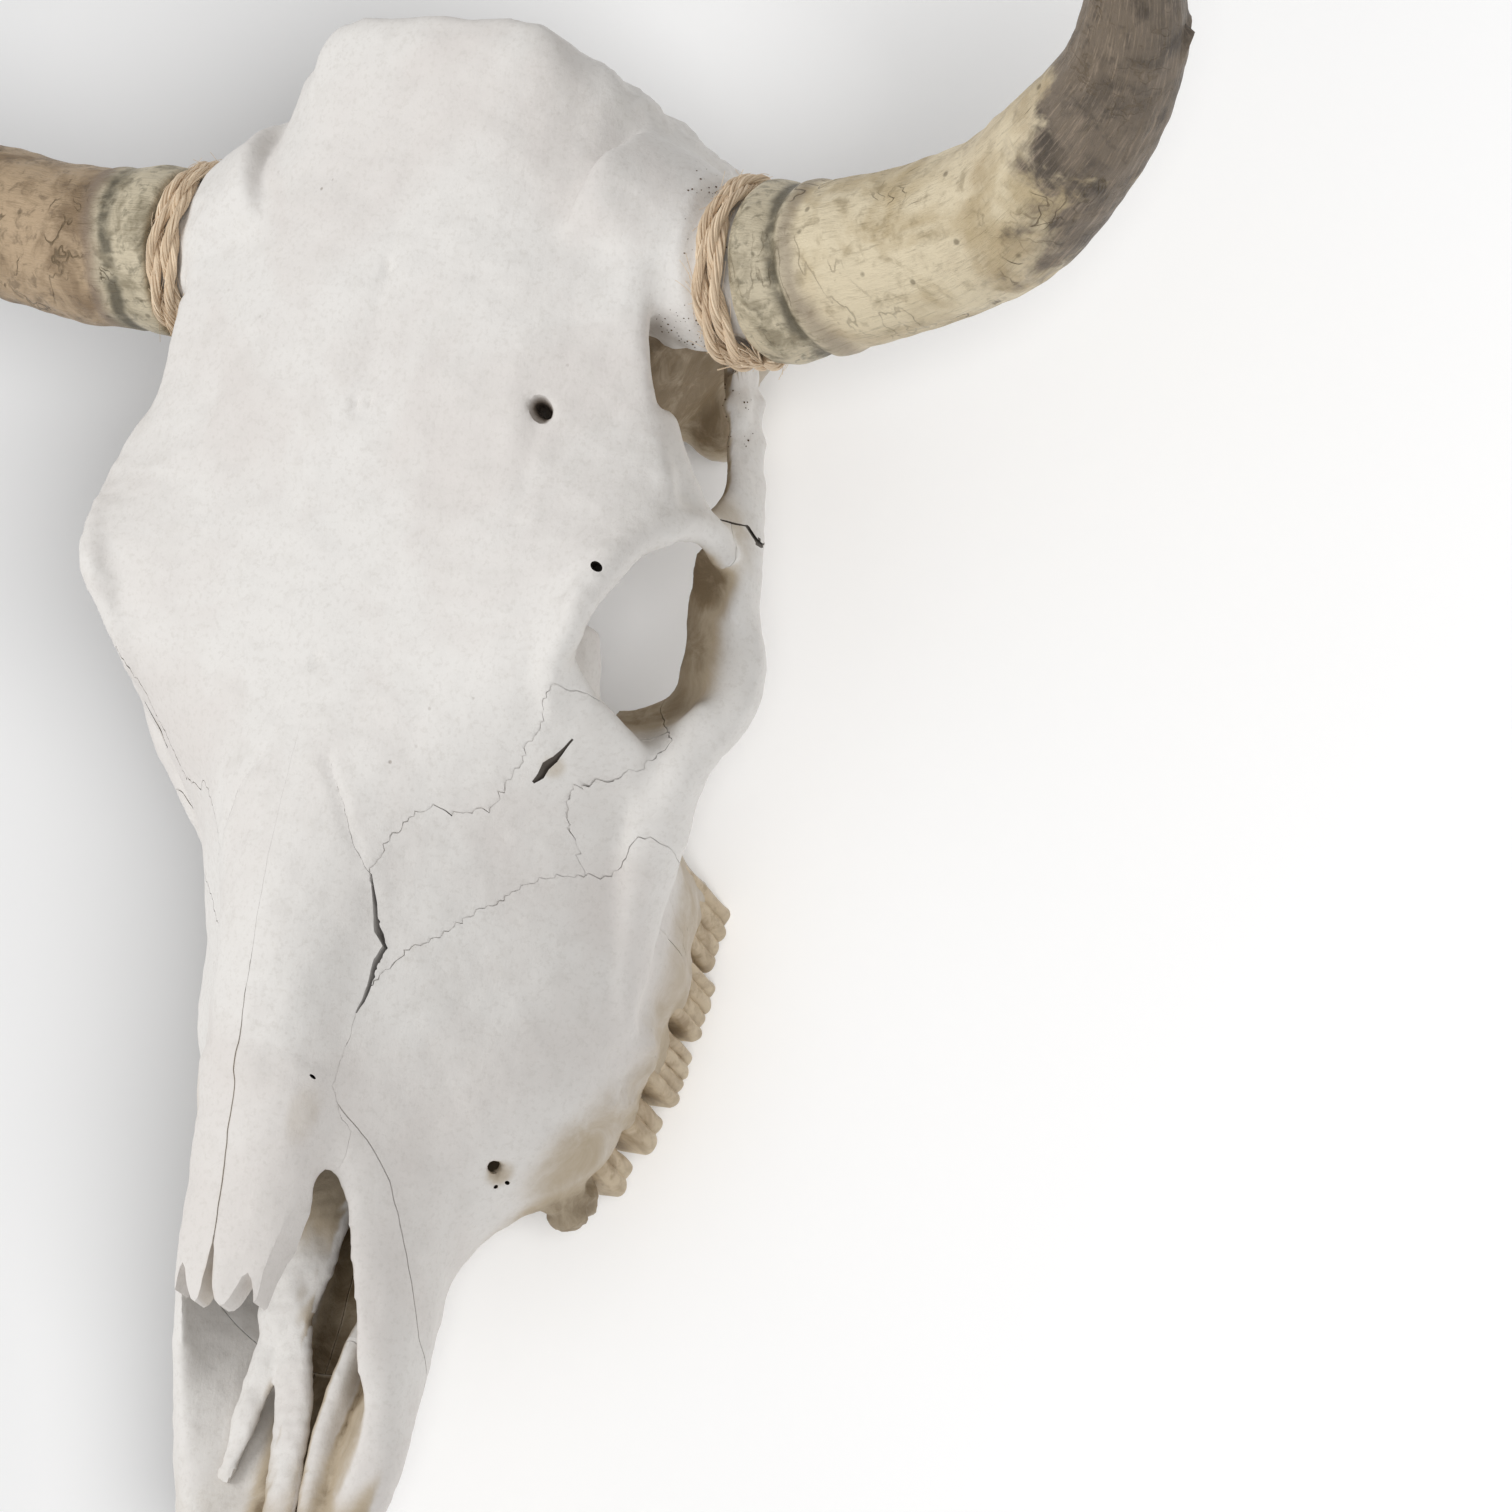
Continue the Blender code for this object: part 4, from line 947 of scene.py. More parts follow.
def crack_walls(piece):
    """For each face: 1 on the walls of the pits and the open sutures, less in the fissure, 0 on the bone's skin; the
    bone material paints shade there.
    """
    faces = piece.data.polygons
    points = working(gathered(faces, "center", 3))
    mirror = np.where(points[:, :1] < 0, (-1, 1, 1), (1, 1, 1))
    points = points * mirror
    normals = (gathered(faces, "normal", 3) @ REST) * mirror
    found = np.zeros(len(points))
    for centre, toward, radius, depth, oval in SIDE_PITS:
        axis = np.array(toward) / np.linalg.norm(toward)
        off = points - centre
        back = off @ axis
        out = np.linalg.norm(off - back[:, None] * axis, axis=1)
        wall = (np.abs(normals @ axis) < 0.5) | (back < 0.3 - depth / 2)
        found[wall & (out < radius * oval + 0.15) & (np.abs(back) < depth / 2 + 0.3)] = 1
    steep = np.flatnonzero(np.abs(normals[:, 2]) < 0.06)
    for (path, widths, low, high), strength in zip(SIDE_SLITS, (0.6, 1.0, 1.0)):
        fine = np.stack([spread(column, 120) for column in np.transpose(path)], axis=1)
        gaps = np.linalg.norm(points[steep][:, None, :2] - fine, axis=2) - spread(widths, 120) / 2
        inside = (gaps.min(axis=1) < 0.2) & (points[steep, 2] > low - 1) & (points[steep, 2] < high + 1)
        found[steep[inside]] = np.maximum(found[steep[inside]], strength)
    return found


def part_bones(skull):
    """The bones, each with a hairline gap to its neighbours."""
    for centre, toward, radius, depth, oval in SIDE_PITS:
        combine(skull, drill("pit", centre, toward, radius, depth, oval=oval), "DIFFERENCE")
    for side, _ in SIDES:
        for path, widths, low, high in SIDE_SLITS:
            combine(skull, slit(path, widths, low, high, side), "DIFFERENCE")
        tip = [[(side * x, a, z) for x, a in NASAL_TIP] for z in NASAL_TIP_LEVELS]
        combine(skull, prism(*tip), "DIFFERENCE")
    bones = {}
    for bone in BONE_REGIONS:
        for side, word in SIDES:
            name = f"{bone}_{word}"
            piece = new_object(name, skull.data.copy())
            combine(piece, bone_region(bone, side, False), "INTERSECT")
            keep_largest(piece)
            combine(skull, bone_region(bone, side, True), "DIFFERENCE")
            bones[name] = piece
    keep_largest(skull)
    skull.name = "cranium_bone"
    bones["cranium"] = skull
    return bones


def beyond_core(side):
    """A wide cutter that ends the horn core where the sheath begins."""
    foot, axis = horn_foot(side)
    return drill("beyond_core", foot + axis * (SHEATH_START[side] - GAP + CUT_LENGTH / 2), axis, CUT_RADIUS, CUT_LENGTH)


def vomer():
    half = VOMER_THICKNESS / 2
    outline = np.array(VOMER_PLATE, float)
    plate = prism([(-half, a, z) for a, z in outline], [(half, a, z) for a, z in outline])
    pieces = [plate, tube("bar", VOMER_BAR, VOMER_BAR_RADII, VOMER_BAR_FLATNESS)]
    for path, heights in VOMER_LEGS:
        pieces.append(tube("leg", path, heights, VOMER_LEG_FLATNESS))
    bone = joined("vomer_bone", pieces)
    fuse(bone, 1.0, 3)
    points = read_points(bone)
    rise = 0.35 * lumps(points, 14, 31) + 0.15 * lumps(points, 5, 32)
    write_points(bone, points + read_normals(bone) * rise[:, None])
    return bone


# ---------------------------------------------------------------- teeth


def tooth_outline(lobes):
    """The plan of a cheek tooth: u runs along the row, w from the tongue (0) to the cheek (1)."""
    u = np.linspace(0, 1, 56)
    columns = 2 * lobes
    ridge = np.zeros(len(u))
    for i in range(columns):
        middle = (i + 0.5) / columns
        reach = (0.56 if i % 2 else 0.62) / columns
        height = 0.86 if i % 2 else 1.0
        ridge = np.maximum(ridge, height * np.sqrt(np.clip(1 - ((u - middle) / reach) ** 2, 0, 1)))
    cheek = 0.87 + 0.13 * ridge
    tongue = 0.16 - 0.14 * np.abs(np.sin(np.pi * lobes * np.clip((u - 0.03) / 0.94, 0, 1))) ** 0.7
    pinch = 0.30 * np.exp(-u / 0.03) + 0.30 * np.exp(-(1 - u) / 0.03)
    cheek -= pinch * 0.15
    tongue += pinch
    return np.concatenate([np.stack([u, cheek], 1), np.stack([u, tongue], 1)[::-1]])


def tooth(name, front, length, outer, inner, side):
    """A ribbed cheek tooth with a worn, hollowed crown."""
    outline = tooth_outline(2 if length > 18 else 1)
    width = outer - inner
    middle = np.array((0.5, 0.5))
    levels = [(1.0 - 0.05 * z / TOOTH_TOP, 1.5 - 3.0 * (1 - z / TOOTH_TOP), z) for z in np.linspace(TOOTH_TOP, 1.2, 16)]
    levels += [(share, -1.5, z) for share, z in TOOTH_CROWN]
    rings = []
    for share, shift, z in levels:
        plan = middle + (outline - middle) * share
        rings.append([(side * (inner + w * width), front + u * (length - TOOTH_GAP) + shift, z) for u, w in plan])
    rings = np.array(rings)
    flat = rings.reshape(-1, 3)
    flat[:, 0] += 0.25 * lumps(flat, 7, 21)
    flat[:, 1] += 0.25 * lumps(flat, 8, 22)
    return shell(name, rings, {"height": np.repeat([[z] for _, _, z in levels], len(outline), axis=1)})


def tooth_row(side, word):
    row = []
    for front, length, outer, inner in TEETH:
        row.append(tooth("tooth", front, length, outer, inner, side))
    return joined(f"cheek_teeth_{word}", row)


# ---------------------------------------------------------------- horns


def frames(points):
    """Directions along a path, and two square to it that turn as little as they can."""
    tangents = np.gradient(points, axis=0)
    tangents /= np.linalg.norm(tangents, axis=1, keepdims=True)
    first = np.cross(tangents[0], (0.0, 0.0, 1.0))
    firsts = []
    for tangent in tangents:
        first = first - tangent * (first @ tangent)
        first /= np.linalg.norm(first)
        firsts.append(first)
    firsts = np.array(firsts)
    return tangents, firsts, np.cross(tangents, firsts)


def around(first, second, angle, reach):
    """Steps out from a path, by a reach and at an angle between its two square directions."""
    return (first * np.cos(angle)[..., None] + second * np.sin(angle)[..., None]) * np.asarray(reach)[..., None]


def even_path(path, radii, start, step):
    """Points at even steps along a path from a start, their distances and radii."""
    fine = smooth_through(path, 24)
    widths = spread(radii, len(fine))
    lengths = np.concatenate([[0], np.cumsum(np.linalg.norm(np.diff(fine, axis=0), axis=1))])
    at = np.linspace(start, lengths[-1], round((lengths[-1] - start) / step))
    points = np.stack([np.interp(at, lengths, fine[:, i]) for i in range(3)], axis=1)
    return points, at - start, np.interp(at, lengths, widths)


SHEATH_STEP = 1.3
SHEATH_SIDES = 112
# Rings that turn the sheath's foot inwards: the share of its radius, and how far along.
SHEATH_FOOT = [(0.80, 1.5), (0.84, 0.0), (0.955, 0.0), (0.985, 0.5)]


def horn_sheath(name, side):
    """A sheath with growth rings at its foot and a fibrous, flaking end."""
    seed = SHEATH_SEED[side]
    path = np.array(HORN_PATHS[side], float) * (side, 1, 1)
    middle, along, radii = even_path(path, HORN_RADII, SHEATH_START[side], SHEATH_STEP)
    tangents, first, second = frames(middle)
    random = np.random.default_rng(seed)
    turn = np.linspace(0, 2 * np.pi, SHEATH_SIDES, endpoint=False)
    s, angle = np.meshgrid(along, turn, indexing="ij")
    radius = np.repeat(radii[:, None], len(turn), axis=1)

    slanted = s - 4.5 * np.cos(angle - 6.0) + 0.8 * np.sin(3 * angle + seed)
    growth = 0.9 * np.exp(-(((slanted - 5) / 5) ** 2)) - 1.3 * np.exp(-(((slanted - 16) / 3.0) ** 2))
    growth += 0.5 * np.exp(-(((slanted - 22) / 4) ** 2)) - 0.4 * np.exp(-(((slanted - 29) / 2.2) ** 2))
    growth += 0.22 * np.sin(slanted / 2.6) * np.exp(-slanted / 70)
    if side < 0:
        growth *= 0.35
    fibres = np.zeros_like(s)
    for count in (9, 14, 23, 31, 44):
        wander = random.uniform(0, 6.3) + 0.9 * np.sin(s / random.uniform(18, 40) + random.uniform(0, 6.3))
        fibres += np.sin(count * angle + wander) / count**0.35
    patchy = 0.55 + 0.45 * np.sin(s / 23 + 2 * np.cos(angle))
    rough = ramp(s, 60, 190)
    radius += growth + fibres * (0.05 + 0.17 * rough * patchy)

    flat = (middle[:, None] + around(first[:, None], second[:, None], angle, radius)).reshape(-1, 3)
    radius += 0.55 * lumps(flat, 36, seed + 1).reshape(s.shape) + 0.18 * lumps(flat, 9, seed + 2).reshape(s.shape)

    # The outer layer has split off towards the tip and leaves a ragged step with a lifted flake.
    edge = TORN_FROM[side] + 7 * np.sin(2 * angle + seed) + 4 * np.sin(5 * angle + 1.3) + 2.0 * np.sin(13 * angle)
    worn = ramp(s, 0, 1) * ramp(s - edge, 0, 1.6)
    side_mask = ramp(np.cos(angle - 2.2), 0.15, 0.55)
    radius -= 1.3 * worn * side_mask * ramp(s, along[-1], along[-1] - 60)
    lifted = 2.2 * np.exp(-((np.clip(edge - s, 0, 99) / 5) ** 2)) * (s < edge)
    radius += lifted * side_mask * ramp(np.sin(7 * angle), 0.2, 0.9)
    radius *= np.sqrt(np.clip((along[-1] - s) / 9, 0.0, 1.0) * 0.98 + 0.02)

    rows = []
    for share, back in SHEATH_FOOT:
        rows.append(middle[0] + tangents[0] * back + around(first[0], second[0], turn, radius[0] * share))
    backs = np.repeat([[back] for _, back in SHEATH_FOOT], len(turn), axis=1)
    body = middle[:, None] + around(first[:, None], second[:, None], angle, radius)
    rings = np.concatenate([rows, body[1:]])
    distance = np.concatenate([backs, s[1:]])
    ring = np.concatenate([backs, slanted[1:]])
    angles = np.concatenate([np.repeat(turn[None], len(rows), axis=0), angle[1:]])
    fibre = np.stack([np.cos(angles) * 26, np.sin(angles) * 26, distance * 0.13], axis=-1)
    return shell(name, rings, {"along": distance, "ring": ring, "fibre": fibre})


# ---------------------------------------------------------------- cord


ROPE_TURNS = {1: 2.5, -1: 1.9}
ROPE_PITCH = 4.7
ROPE_LAY = 44.0
PLY_RADIUS = 1.35
PLY_YARNS = 9
YARN_LAY = 30.0
YARN_REACH = 1.2
YARN_RADIUS = 0.52
CORD_STEPS = 420
CORD_HAIRS = 260
FRAYED_YARNS = 22
# Where the cord starts beside each sheath, as an angle round the horn's foot.
ROPE_PHASE = {1: 0.35, -1: 2.67}


def wound_cord(side):
    """The middle of the cord round the foot of a horn, with its last end tucked in."""
    foot, axis = horn_foot(side)
    first = np.cross(axis, (0.0, 0.0, 1.0))
    first /= np.linalg.norm(first)
    second = np.cross(axis, first)
    whole = 2 * np.pi * ROPE_TURNS[side]
    turn = np.linspace(0, whole, CORD_STEPS)
    start = SHEATH_START[side] - PLY_RADIUS - YARN_REACH - YARN_RADIUS
    back = start - ROPE_PITCH * turn / (2 * np.pi) + 0.7 * np.sin(turn * 1.3 + 1) * ramp(turn, 0, 2)
    reach = CORE_RADIUS + 3.2 + 0.45 * np.sin(turn * 2.1) - 3.0 * ramp(turn, whole - 0.5, whole)
    return foot + axis * back[:, None] + around(first, second, turn + ROPE_PHASE[side], reach)


def filament(name, points, radius, sides, values):
    _, first, second = frames(points)
    turn = np.linspace(0, 2 * np.pi, sides, endpoint=False)
    rings = points[:, None] + around(first[:, None], second[:, None], turn[None], radius)
    tables = {key: np.full(rings.shape[:2], value) for key, value in values.items()}
    return shell(name, rings, tables)


def frayed_end(random, tip, along):
    """Yarns that come apart where the cord is cut."""
    pieces = []
    t = np.linspace(0, 1, 9)[:, None]
    for _ in range(FRAYED_YARNS):
        way = along + random.normal(size=3) * 0.22
        curl = random.normal(size=3) * 1.8
        yarn = tip + random.normal(size=3) * 0.7 + way * random.uniform(5, 15) * t + curl * t**2
        pieces.append(filament("fray", yarn, random.uniform(0.14, 0.34), 5, {"shade": random.uniform(0.5, 1.0)}))
    return pieces


def jute_cord(name, side):
    """A two-ply cord of coarse yarns, with a frayed end and the hairs that stand off it."""
    random = np.random.default_rng(ROPE_SEED[side])
    line = wound_cord(side)
    _, first, second = frames(line)
    lengths = np.concatenate([[0], np.cumsum(np.linalg.norm(np.diff(line, axis=0), axis=1))])
    pieces = frayed_end(random, line[0], (line[0] - line[2]) / np.linalg.norm(line[0] - line[2]))
    for ply in range(2):
        twist = lengths / ROPE_LAY * 2 * np.pi + ply * np.pi + 0.5 * np.sin(lengths / 37)
        ply_line = line + around(first, second, twist, PLY_RADIUS)
        _, ply_first, ply_second = frames(ply_line)
        # The core, seen between the yarns, is painted dark: painted shade in the gaps of the cord.
        pieces.append(filament("core", ply_line, YARN_REACH, 8, {"shade": 0.1}))
        for yarn in range(PLY_YARNS):
            turn = -lengths / YARN_LAY * 2 * np.pi + yarn * 2 * np.pi / PLY_YARNS + random.uniform(-0.25, 0.25)
            reach = YARN_REACH + 0.16 * np.sin(lengths / random.uniform(3, 9) + random.uniform(0, 6.3))
            yarn_line = ply_line + around(ply_first, ply_second, turn, reach)
            shade = random.uniform(0.3, 1.0)
            pieces.append(filament("yarn", yarn_line, random.uniform(0.8, 1.15) * YARN_RADIUS, 5, {"shade": shade}))
    for _ in range(CORD_HAIRS):
        i = random.integers(4, len(line) - 4)
        out = random.normal(size=3)
        out /= np.linalg.norm(out)
        start = line[i] + out * (PLY_RADIUS + 1.3)
        bend = random.normal(size=3)
        length = random.uniform(2.0, 9.0)
        t = np.linspace(0, 1, 6)[:, None]
        along = line[i + 3] - line[i]
        along /= np.linalg.norm(along)
        hair = start + (along * random.choice((-1, 1)) + out * 0.35) * length * t + bend * 1.1 * t**2
        pieces.append(filament("hair", hair, 0.09, 3, {"shade": random.uniform(0.6, 1.0)}))
    return joined(name, pieces)


# Where soil clings to the bone: beside the cord, inside the cheek arch and along its suture.
CRUMB_PLACES = [
    (112, 423, 189), (111, 430, 190), (100, 452, 182), (104, 447, 184), (109, 404, 173), (104, 402, 172),
    (99, 399, 128),
    (102, 390, 127), (95, 408, 133), (-112, 425, 186), (-110, 436, 188), (99, 404, 170), (101, 408, 168),
]


def soil_crumbs(bone):
    """Small clods that stick to the bone's skin."""
    points = read_points(bone)
    random = np.random.default_rng(6)
    bm = bmesh.new()
    for place in CRUMB_PLACES:
        close = np.argsort(np.linalg.norm(points - place, axis=1))[:110]
        for i in random.choice(close, 14, replace=False):
            made = bmesh.ops.create_icosphere(bm, subdivisions=1, radius=random.uniform(0.12, 0.40) * MM)["verts"]
            bmesh.ops.scale(bm, vec=random.uniform(0.6, 1.3, 3), verts=made)
            bmesh.ops.translate(bm, vec=Vector(placed(points[i])), verts=made)
    return object_from("soil_crumbs", bm)


# ---------------------------------------------------------------- materials


def colour(red, green, blue):
    """A colour given as it looks on a screen, from 0 to 255."""
    shares = [value / 255 for value in (red, green, blue)]
    linear = [c / 12.92 if c <= 0.04045 else ((c + 0.055) / 1.055) ** 2.4 for c in shares]
    return (*linear, 1.0)


class Maker:
    """Short ways to add nodes to a material or a group and to join them."""

    def __init__(self, tree):
        self.tree = tree
        self.nodes = tree.nodes
        self.links = tree.links

    def add(self, kind, inputs=None, **settings):
        node = self.nodes.new(kind)
        for key, value in settings.items():
            setattr(node, key, value)
        for key, value in (inputs or {}).items():
            self.feed(node, key, value)
        return node

    def feed(self, node, key, value):
        socket = node.inputs[key]
        if isinstance(value, bpy.types.NodeSocket):
            self.links.new(value, socket)
        else:
            socket.default_value = value

    def math(self, operation, first, second=0.0, clamp=False):
        return self.add("ShaderNodeMath", {0: first, 1: second}, operation=operation, use_clamp=clamp).outputs[0]

    def place(self):
        return self.add("ShaderNodeTexCoord").outputs["Object"]

    def times(self, first, second, clamp=False):
        return self.math("MULTIPLY", first, second, clamp)

    def plus(self, first, second, clamp=False):
        return self.math("ADD", first, second, clamp)

    def minus(self, first, second, clamp=False):
        return self.math("SUBTRACT", first, second, clamp)

    def noise(self, vector, scale, detail=3.0, roughness=0.55, distortion=0.0):
        node = self.add(
            "ShaderNodeTexNoise",
            {"Vector": vector, "Scale": scale, "Detail": detail, "Roughness": roughness, "Distortion": distortion},
        )
        return node.outputs["Fac"]

    def between(self, value, low, high):
        node = self.add("ShaderNodeMapRange", {0: value, 1: low, 2: high}, interpolation_type="SMOOTHSTEP", clamp=True)
        return node.outputs[0]

    def mix(self, share, first, second):
        node = self.add("ShaderNodeMix", data_type="RGBA", blend_type="MIX", clamp_factor=True)
        self.feed(node, 0, share)
        self.feed(node, 6, first)
        self.feed(node, 7, second)
        return node.outputs[2]

    def stretched(self, vector, scale):
        return self.add("ShaderNodeMapping", {"Vector": vector, "Scale": scale}).outputs[0]

    def attribute(self, name, vector=False):
        node = self.add("ShaderNodeAttribute", attribute_name=name)
        return node.outputs["Vector" if vector else "Fac"]


def new_group(name, inputs, outputs):
    """A shader node group with named sockets: each is (name, kind, value)."""
    group = bpy.data.node_groups.new(name, "ShaderNodeTree")
    for socket_name, kind, value in inputs:
        socket = group.interface.new_socket(socket_name, in_out="INPUT", socket_type=f"NodeSocket{kind}")
        if value is not None:
            socket.default_value = value
    for socket_name, kind in outputs:
        group.interface.new_socket(socket_name, in_out="OUTPUT", socket_type=f"NodeSocket{kind}")
    maker = Maker(group)
    return group, maker, maker.add("NodeGroupInput"), maker.add("NodeGroupOutput")


def mottling_group():
    """Uneven colour: broad clouds, small blotches and dark specks over a base colour."""
    group, m, given, out = new_group(
        "Uneven colour",
        [("Vector", "Vector", None), ("Base", "Color", (1, 1, 1, 1)), ("Cloud", "Color", (0.5, 0.5, 0.5, 1)),
         ("Blotch", "Color", (0.5, 0.5, 0.5, 1)), ("Cloud Share", "Float", 0.3), ("Blotch Share", "Float", 0.3),
         ("Cloud Scale", "Float", 14.0), ("Blotch Scale", "Float", 90.0)],
        [("Color", "Color")],
    )
    g = given.outputs
    clouds = m.between(m.noise(g["Vector"], g["Cloud Scale"], 4.0, 0.6, 0.6), 0.42, 0.66)
    blotches = m.between(m.noise(g["Vector"], g["Blotch Scale"], 3.0, 0.65, 0.4), 0.5, 0.72)
    mixed = m.mix(m.times(clouds, g["Cloud Share"]), g["Base"], g["Cloud"])
    mixed = m.mix(m.times(blotches, g["Blotch Share"]), mixed, g["Blotch"])
    m.feed(out, "Color", mixed)
    return group


def pores_group():
    """Small round pits, few or many: a mask and a height."""
    group, m, given, out = new_group(
        "Pores",
        [("Vector", "Vector", None), ("Scale", "Float", 300.0), ("Size", "Float", 0.25), ("Share", "Float", 0.5)],
        [("Mask", "Float"), ("Height", "Float")],
    )
    g = given.outputs
    cells = m.add("ShaderNodeTexVoronoi", {"Vector": g["Vector"], "Scale": g["Scale"]}, feature="F1")
    here = m.math("LESS_THAN", m.add("ShaderNodeSeparateColor", {0: cells.outputs["Color"]}).outputs[0], g["Share"])
    near = m.minus(1.0, m.math("DIVIDE", cells.outputs["Distance"], g["Size"]), clamp=True)
    mask = m.times(near, here)
    m.feed(out, "Mask", m.between(mask, 0.0, 0.6))
    m.feed(out, "Height", m.times(mask, -1.0))
    return group


def placed_group(m, group, inputs):
    node = m.add("ShaderNodeGroup", node_tree=group)
    for key, value in inputs.items():
        m.feed(node, key, value)
    return node.outputs


def mottled(m, groups, where, colours, shares, scales):
    """The uneven colour made of a base colour, its clouds and its blotches."""
    base, cloud, blotch = (colour(*values) for values in colours)
    return placed_group(m, groups["mottling"], {
        "Vector": where, "Base": base, "Cloud": cloud, "Blotch": blotch, "Cloud Share": shares[0],
        "Blotch Share": shares[1], "Cloud Scale": scales[0], "Blotch Scale": scales[1],
    })["Color"]


def new_material(name, roughness):
    material = bpy.data.materials.new(name)
    material.use_nodes = True
    m = Maker(material.node_tree)
    shader = material.node_tree.nodes["Principled BSDF"]
    shader.inputs["Roughness"].default_value = roughness
    return material, m, shader


def finish_material(m, shader, base, roughness, height, distance):
    m.feed(shader, "Base Color", base)
    m.feed(shader, "Roughness", roughness)
    bump = m.add("ShaderNodeBump", {"Strength": 1.0, "Distance": distance, "Height": height})
    m.feed(shader, "Normal", bump.outputs["Normal"])


def bleached_bone(groups):
    material, m, shader = new_material("Bleached bone", 0.62)
    shader.inputs["Specular IOR Level"].default_value = 0.35
    where = m.place()
    uneven = mottled(m, groups, where, ((229, 226, 222), (214, 206, 201), (217, 213, 208)), (0.45, 0.4), (11.0, 95.0))
    fine = m.between(m.noise(where, 520.0, 3.0, 0.7), 0.48, 0.70)
    surface = m.mix(m.times(fine, 0.30), uneven, colour(200, 195, 188))
    hidden = m.attribute("hidden")
    breakup = m.noise(where, 60.0, 5.0, 0.68, 0.8)
    # Brown of soil stain, and in the orbit, the temporal fossa and the nose also painted shade.
    tan = m.times(m.attribute("tan"), m.plus(m.times(breakup, 1.5), 0.25))
    stained_and_shaded = m.mix(m.between(tan, 0.03, 0.65), surface, colour(184, 169, 146))
    stained_and_shaded = m.mix(m.between(tan, 0.55, 1.15), stained_and_shaded, colour(126, 108, 82))
    # Painted shade and dirt in the hollows: the more hidden the bone, the darker and browner.
    hollow_shade_and_dirt = m.times(m.between(hidden, 0.42, 0.92), m.plus(m.times(breakup, 1.1), 0.3), clamp=True)
    shaded_and_dirty = m.mix(m.times(hollow_shade_and_dirt, 0.85), stained_and_shaded, colour(112, 94, 70))
    # Painted shade on the walls of the pits and the open sutures.
    shaded_and_dirty = m.mix(m.times(m.attribute("crack_shade"), 0.95), shaded_and_dirty, colour(62, 52, 42))
    pores = placed_group(m, groups["pores"], {"Vector": where, "Scale": 260.0, "Size": 0.22, "Share": 0.12})
    few = m.between(m.noise(where, 16.0, 3.0, 0.6), 0.56, 0.70)
    speck = m.times(pores["Mask"], m.plus(m.times(few, 0.5), 0.04))
    final = m.mix(speck, shaded_and_dirty, colour(120, 104, 86))
    grain = m.noise(m.stretched(where, (1.0, 0.35, 1.0)), 900.0, 3.0, 0.6)
    soft = m.noise(where, 160.0, 4.0, 0.6)
    height = m.plus(m.times(grain, 0.25), m.times(soft, 0.8))
    height = m.plus(height, m.times(m.times(pores["Height"], few), 0.6))
    height = m.plus(height, m.times(m.times(breakup, tan), 0.9))
    roughness = m.plus(m.times(soft, 0.2), 0.5)
    finish_material(m, shader, final, roughness, height, 0.0004)
    return material


def stained_enamel(groups):
    material, m, shader = new_material("Stained teeth", 0.45)
    where = m.place()
    uneven = mottled(m, groups, where, ((206, 188, 160), (150, 127, 97), (164, 142, 110)), (0.75, 0.6), (75.0, 260.0))
    height = m.attribute("height")
    low = m.between(height, 9.0, 0.0)
    base = m.mix(m.times(low, 0.35), uneven, colour(222, 208, 182))
    lines = m.noise(m.stretched(where, (1.0, 1.0, 0.15)), 700.0, 2.0, 0.5)
    finish_material(m, shader, base, 0.5, lines, 0.0003)
    return material


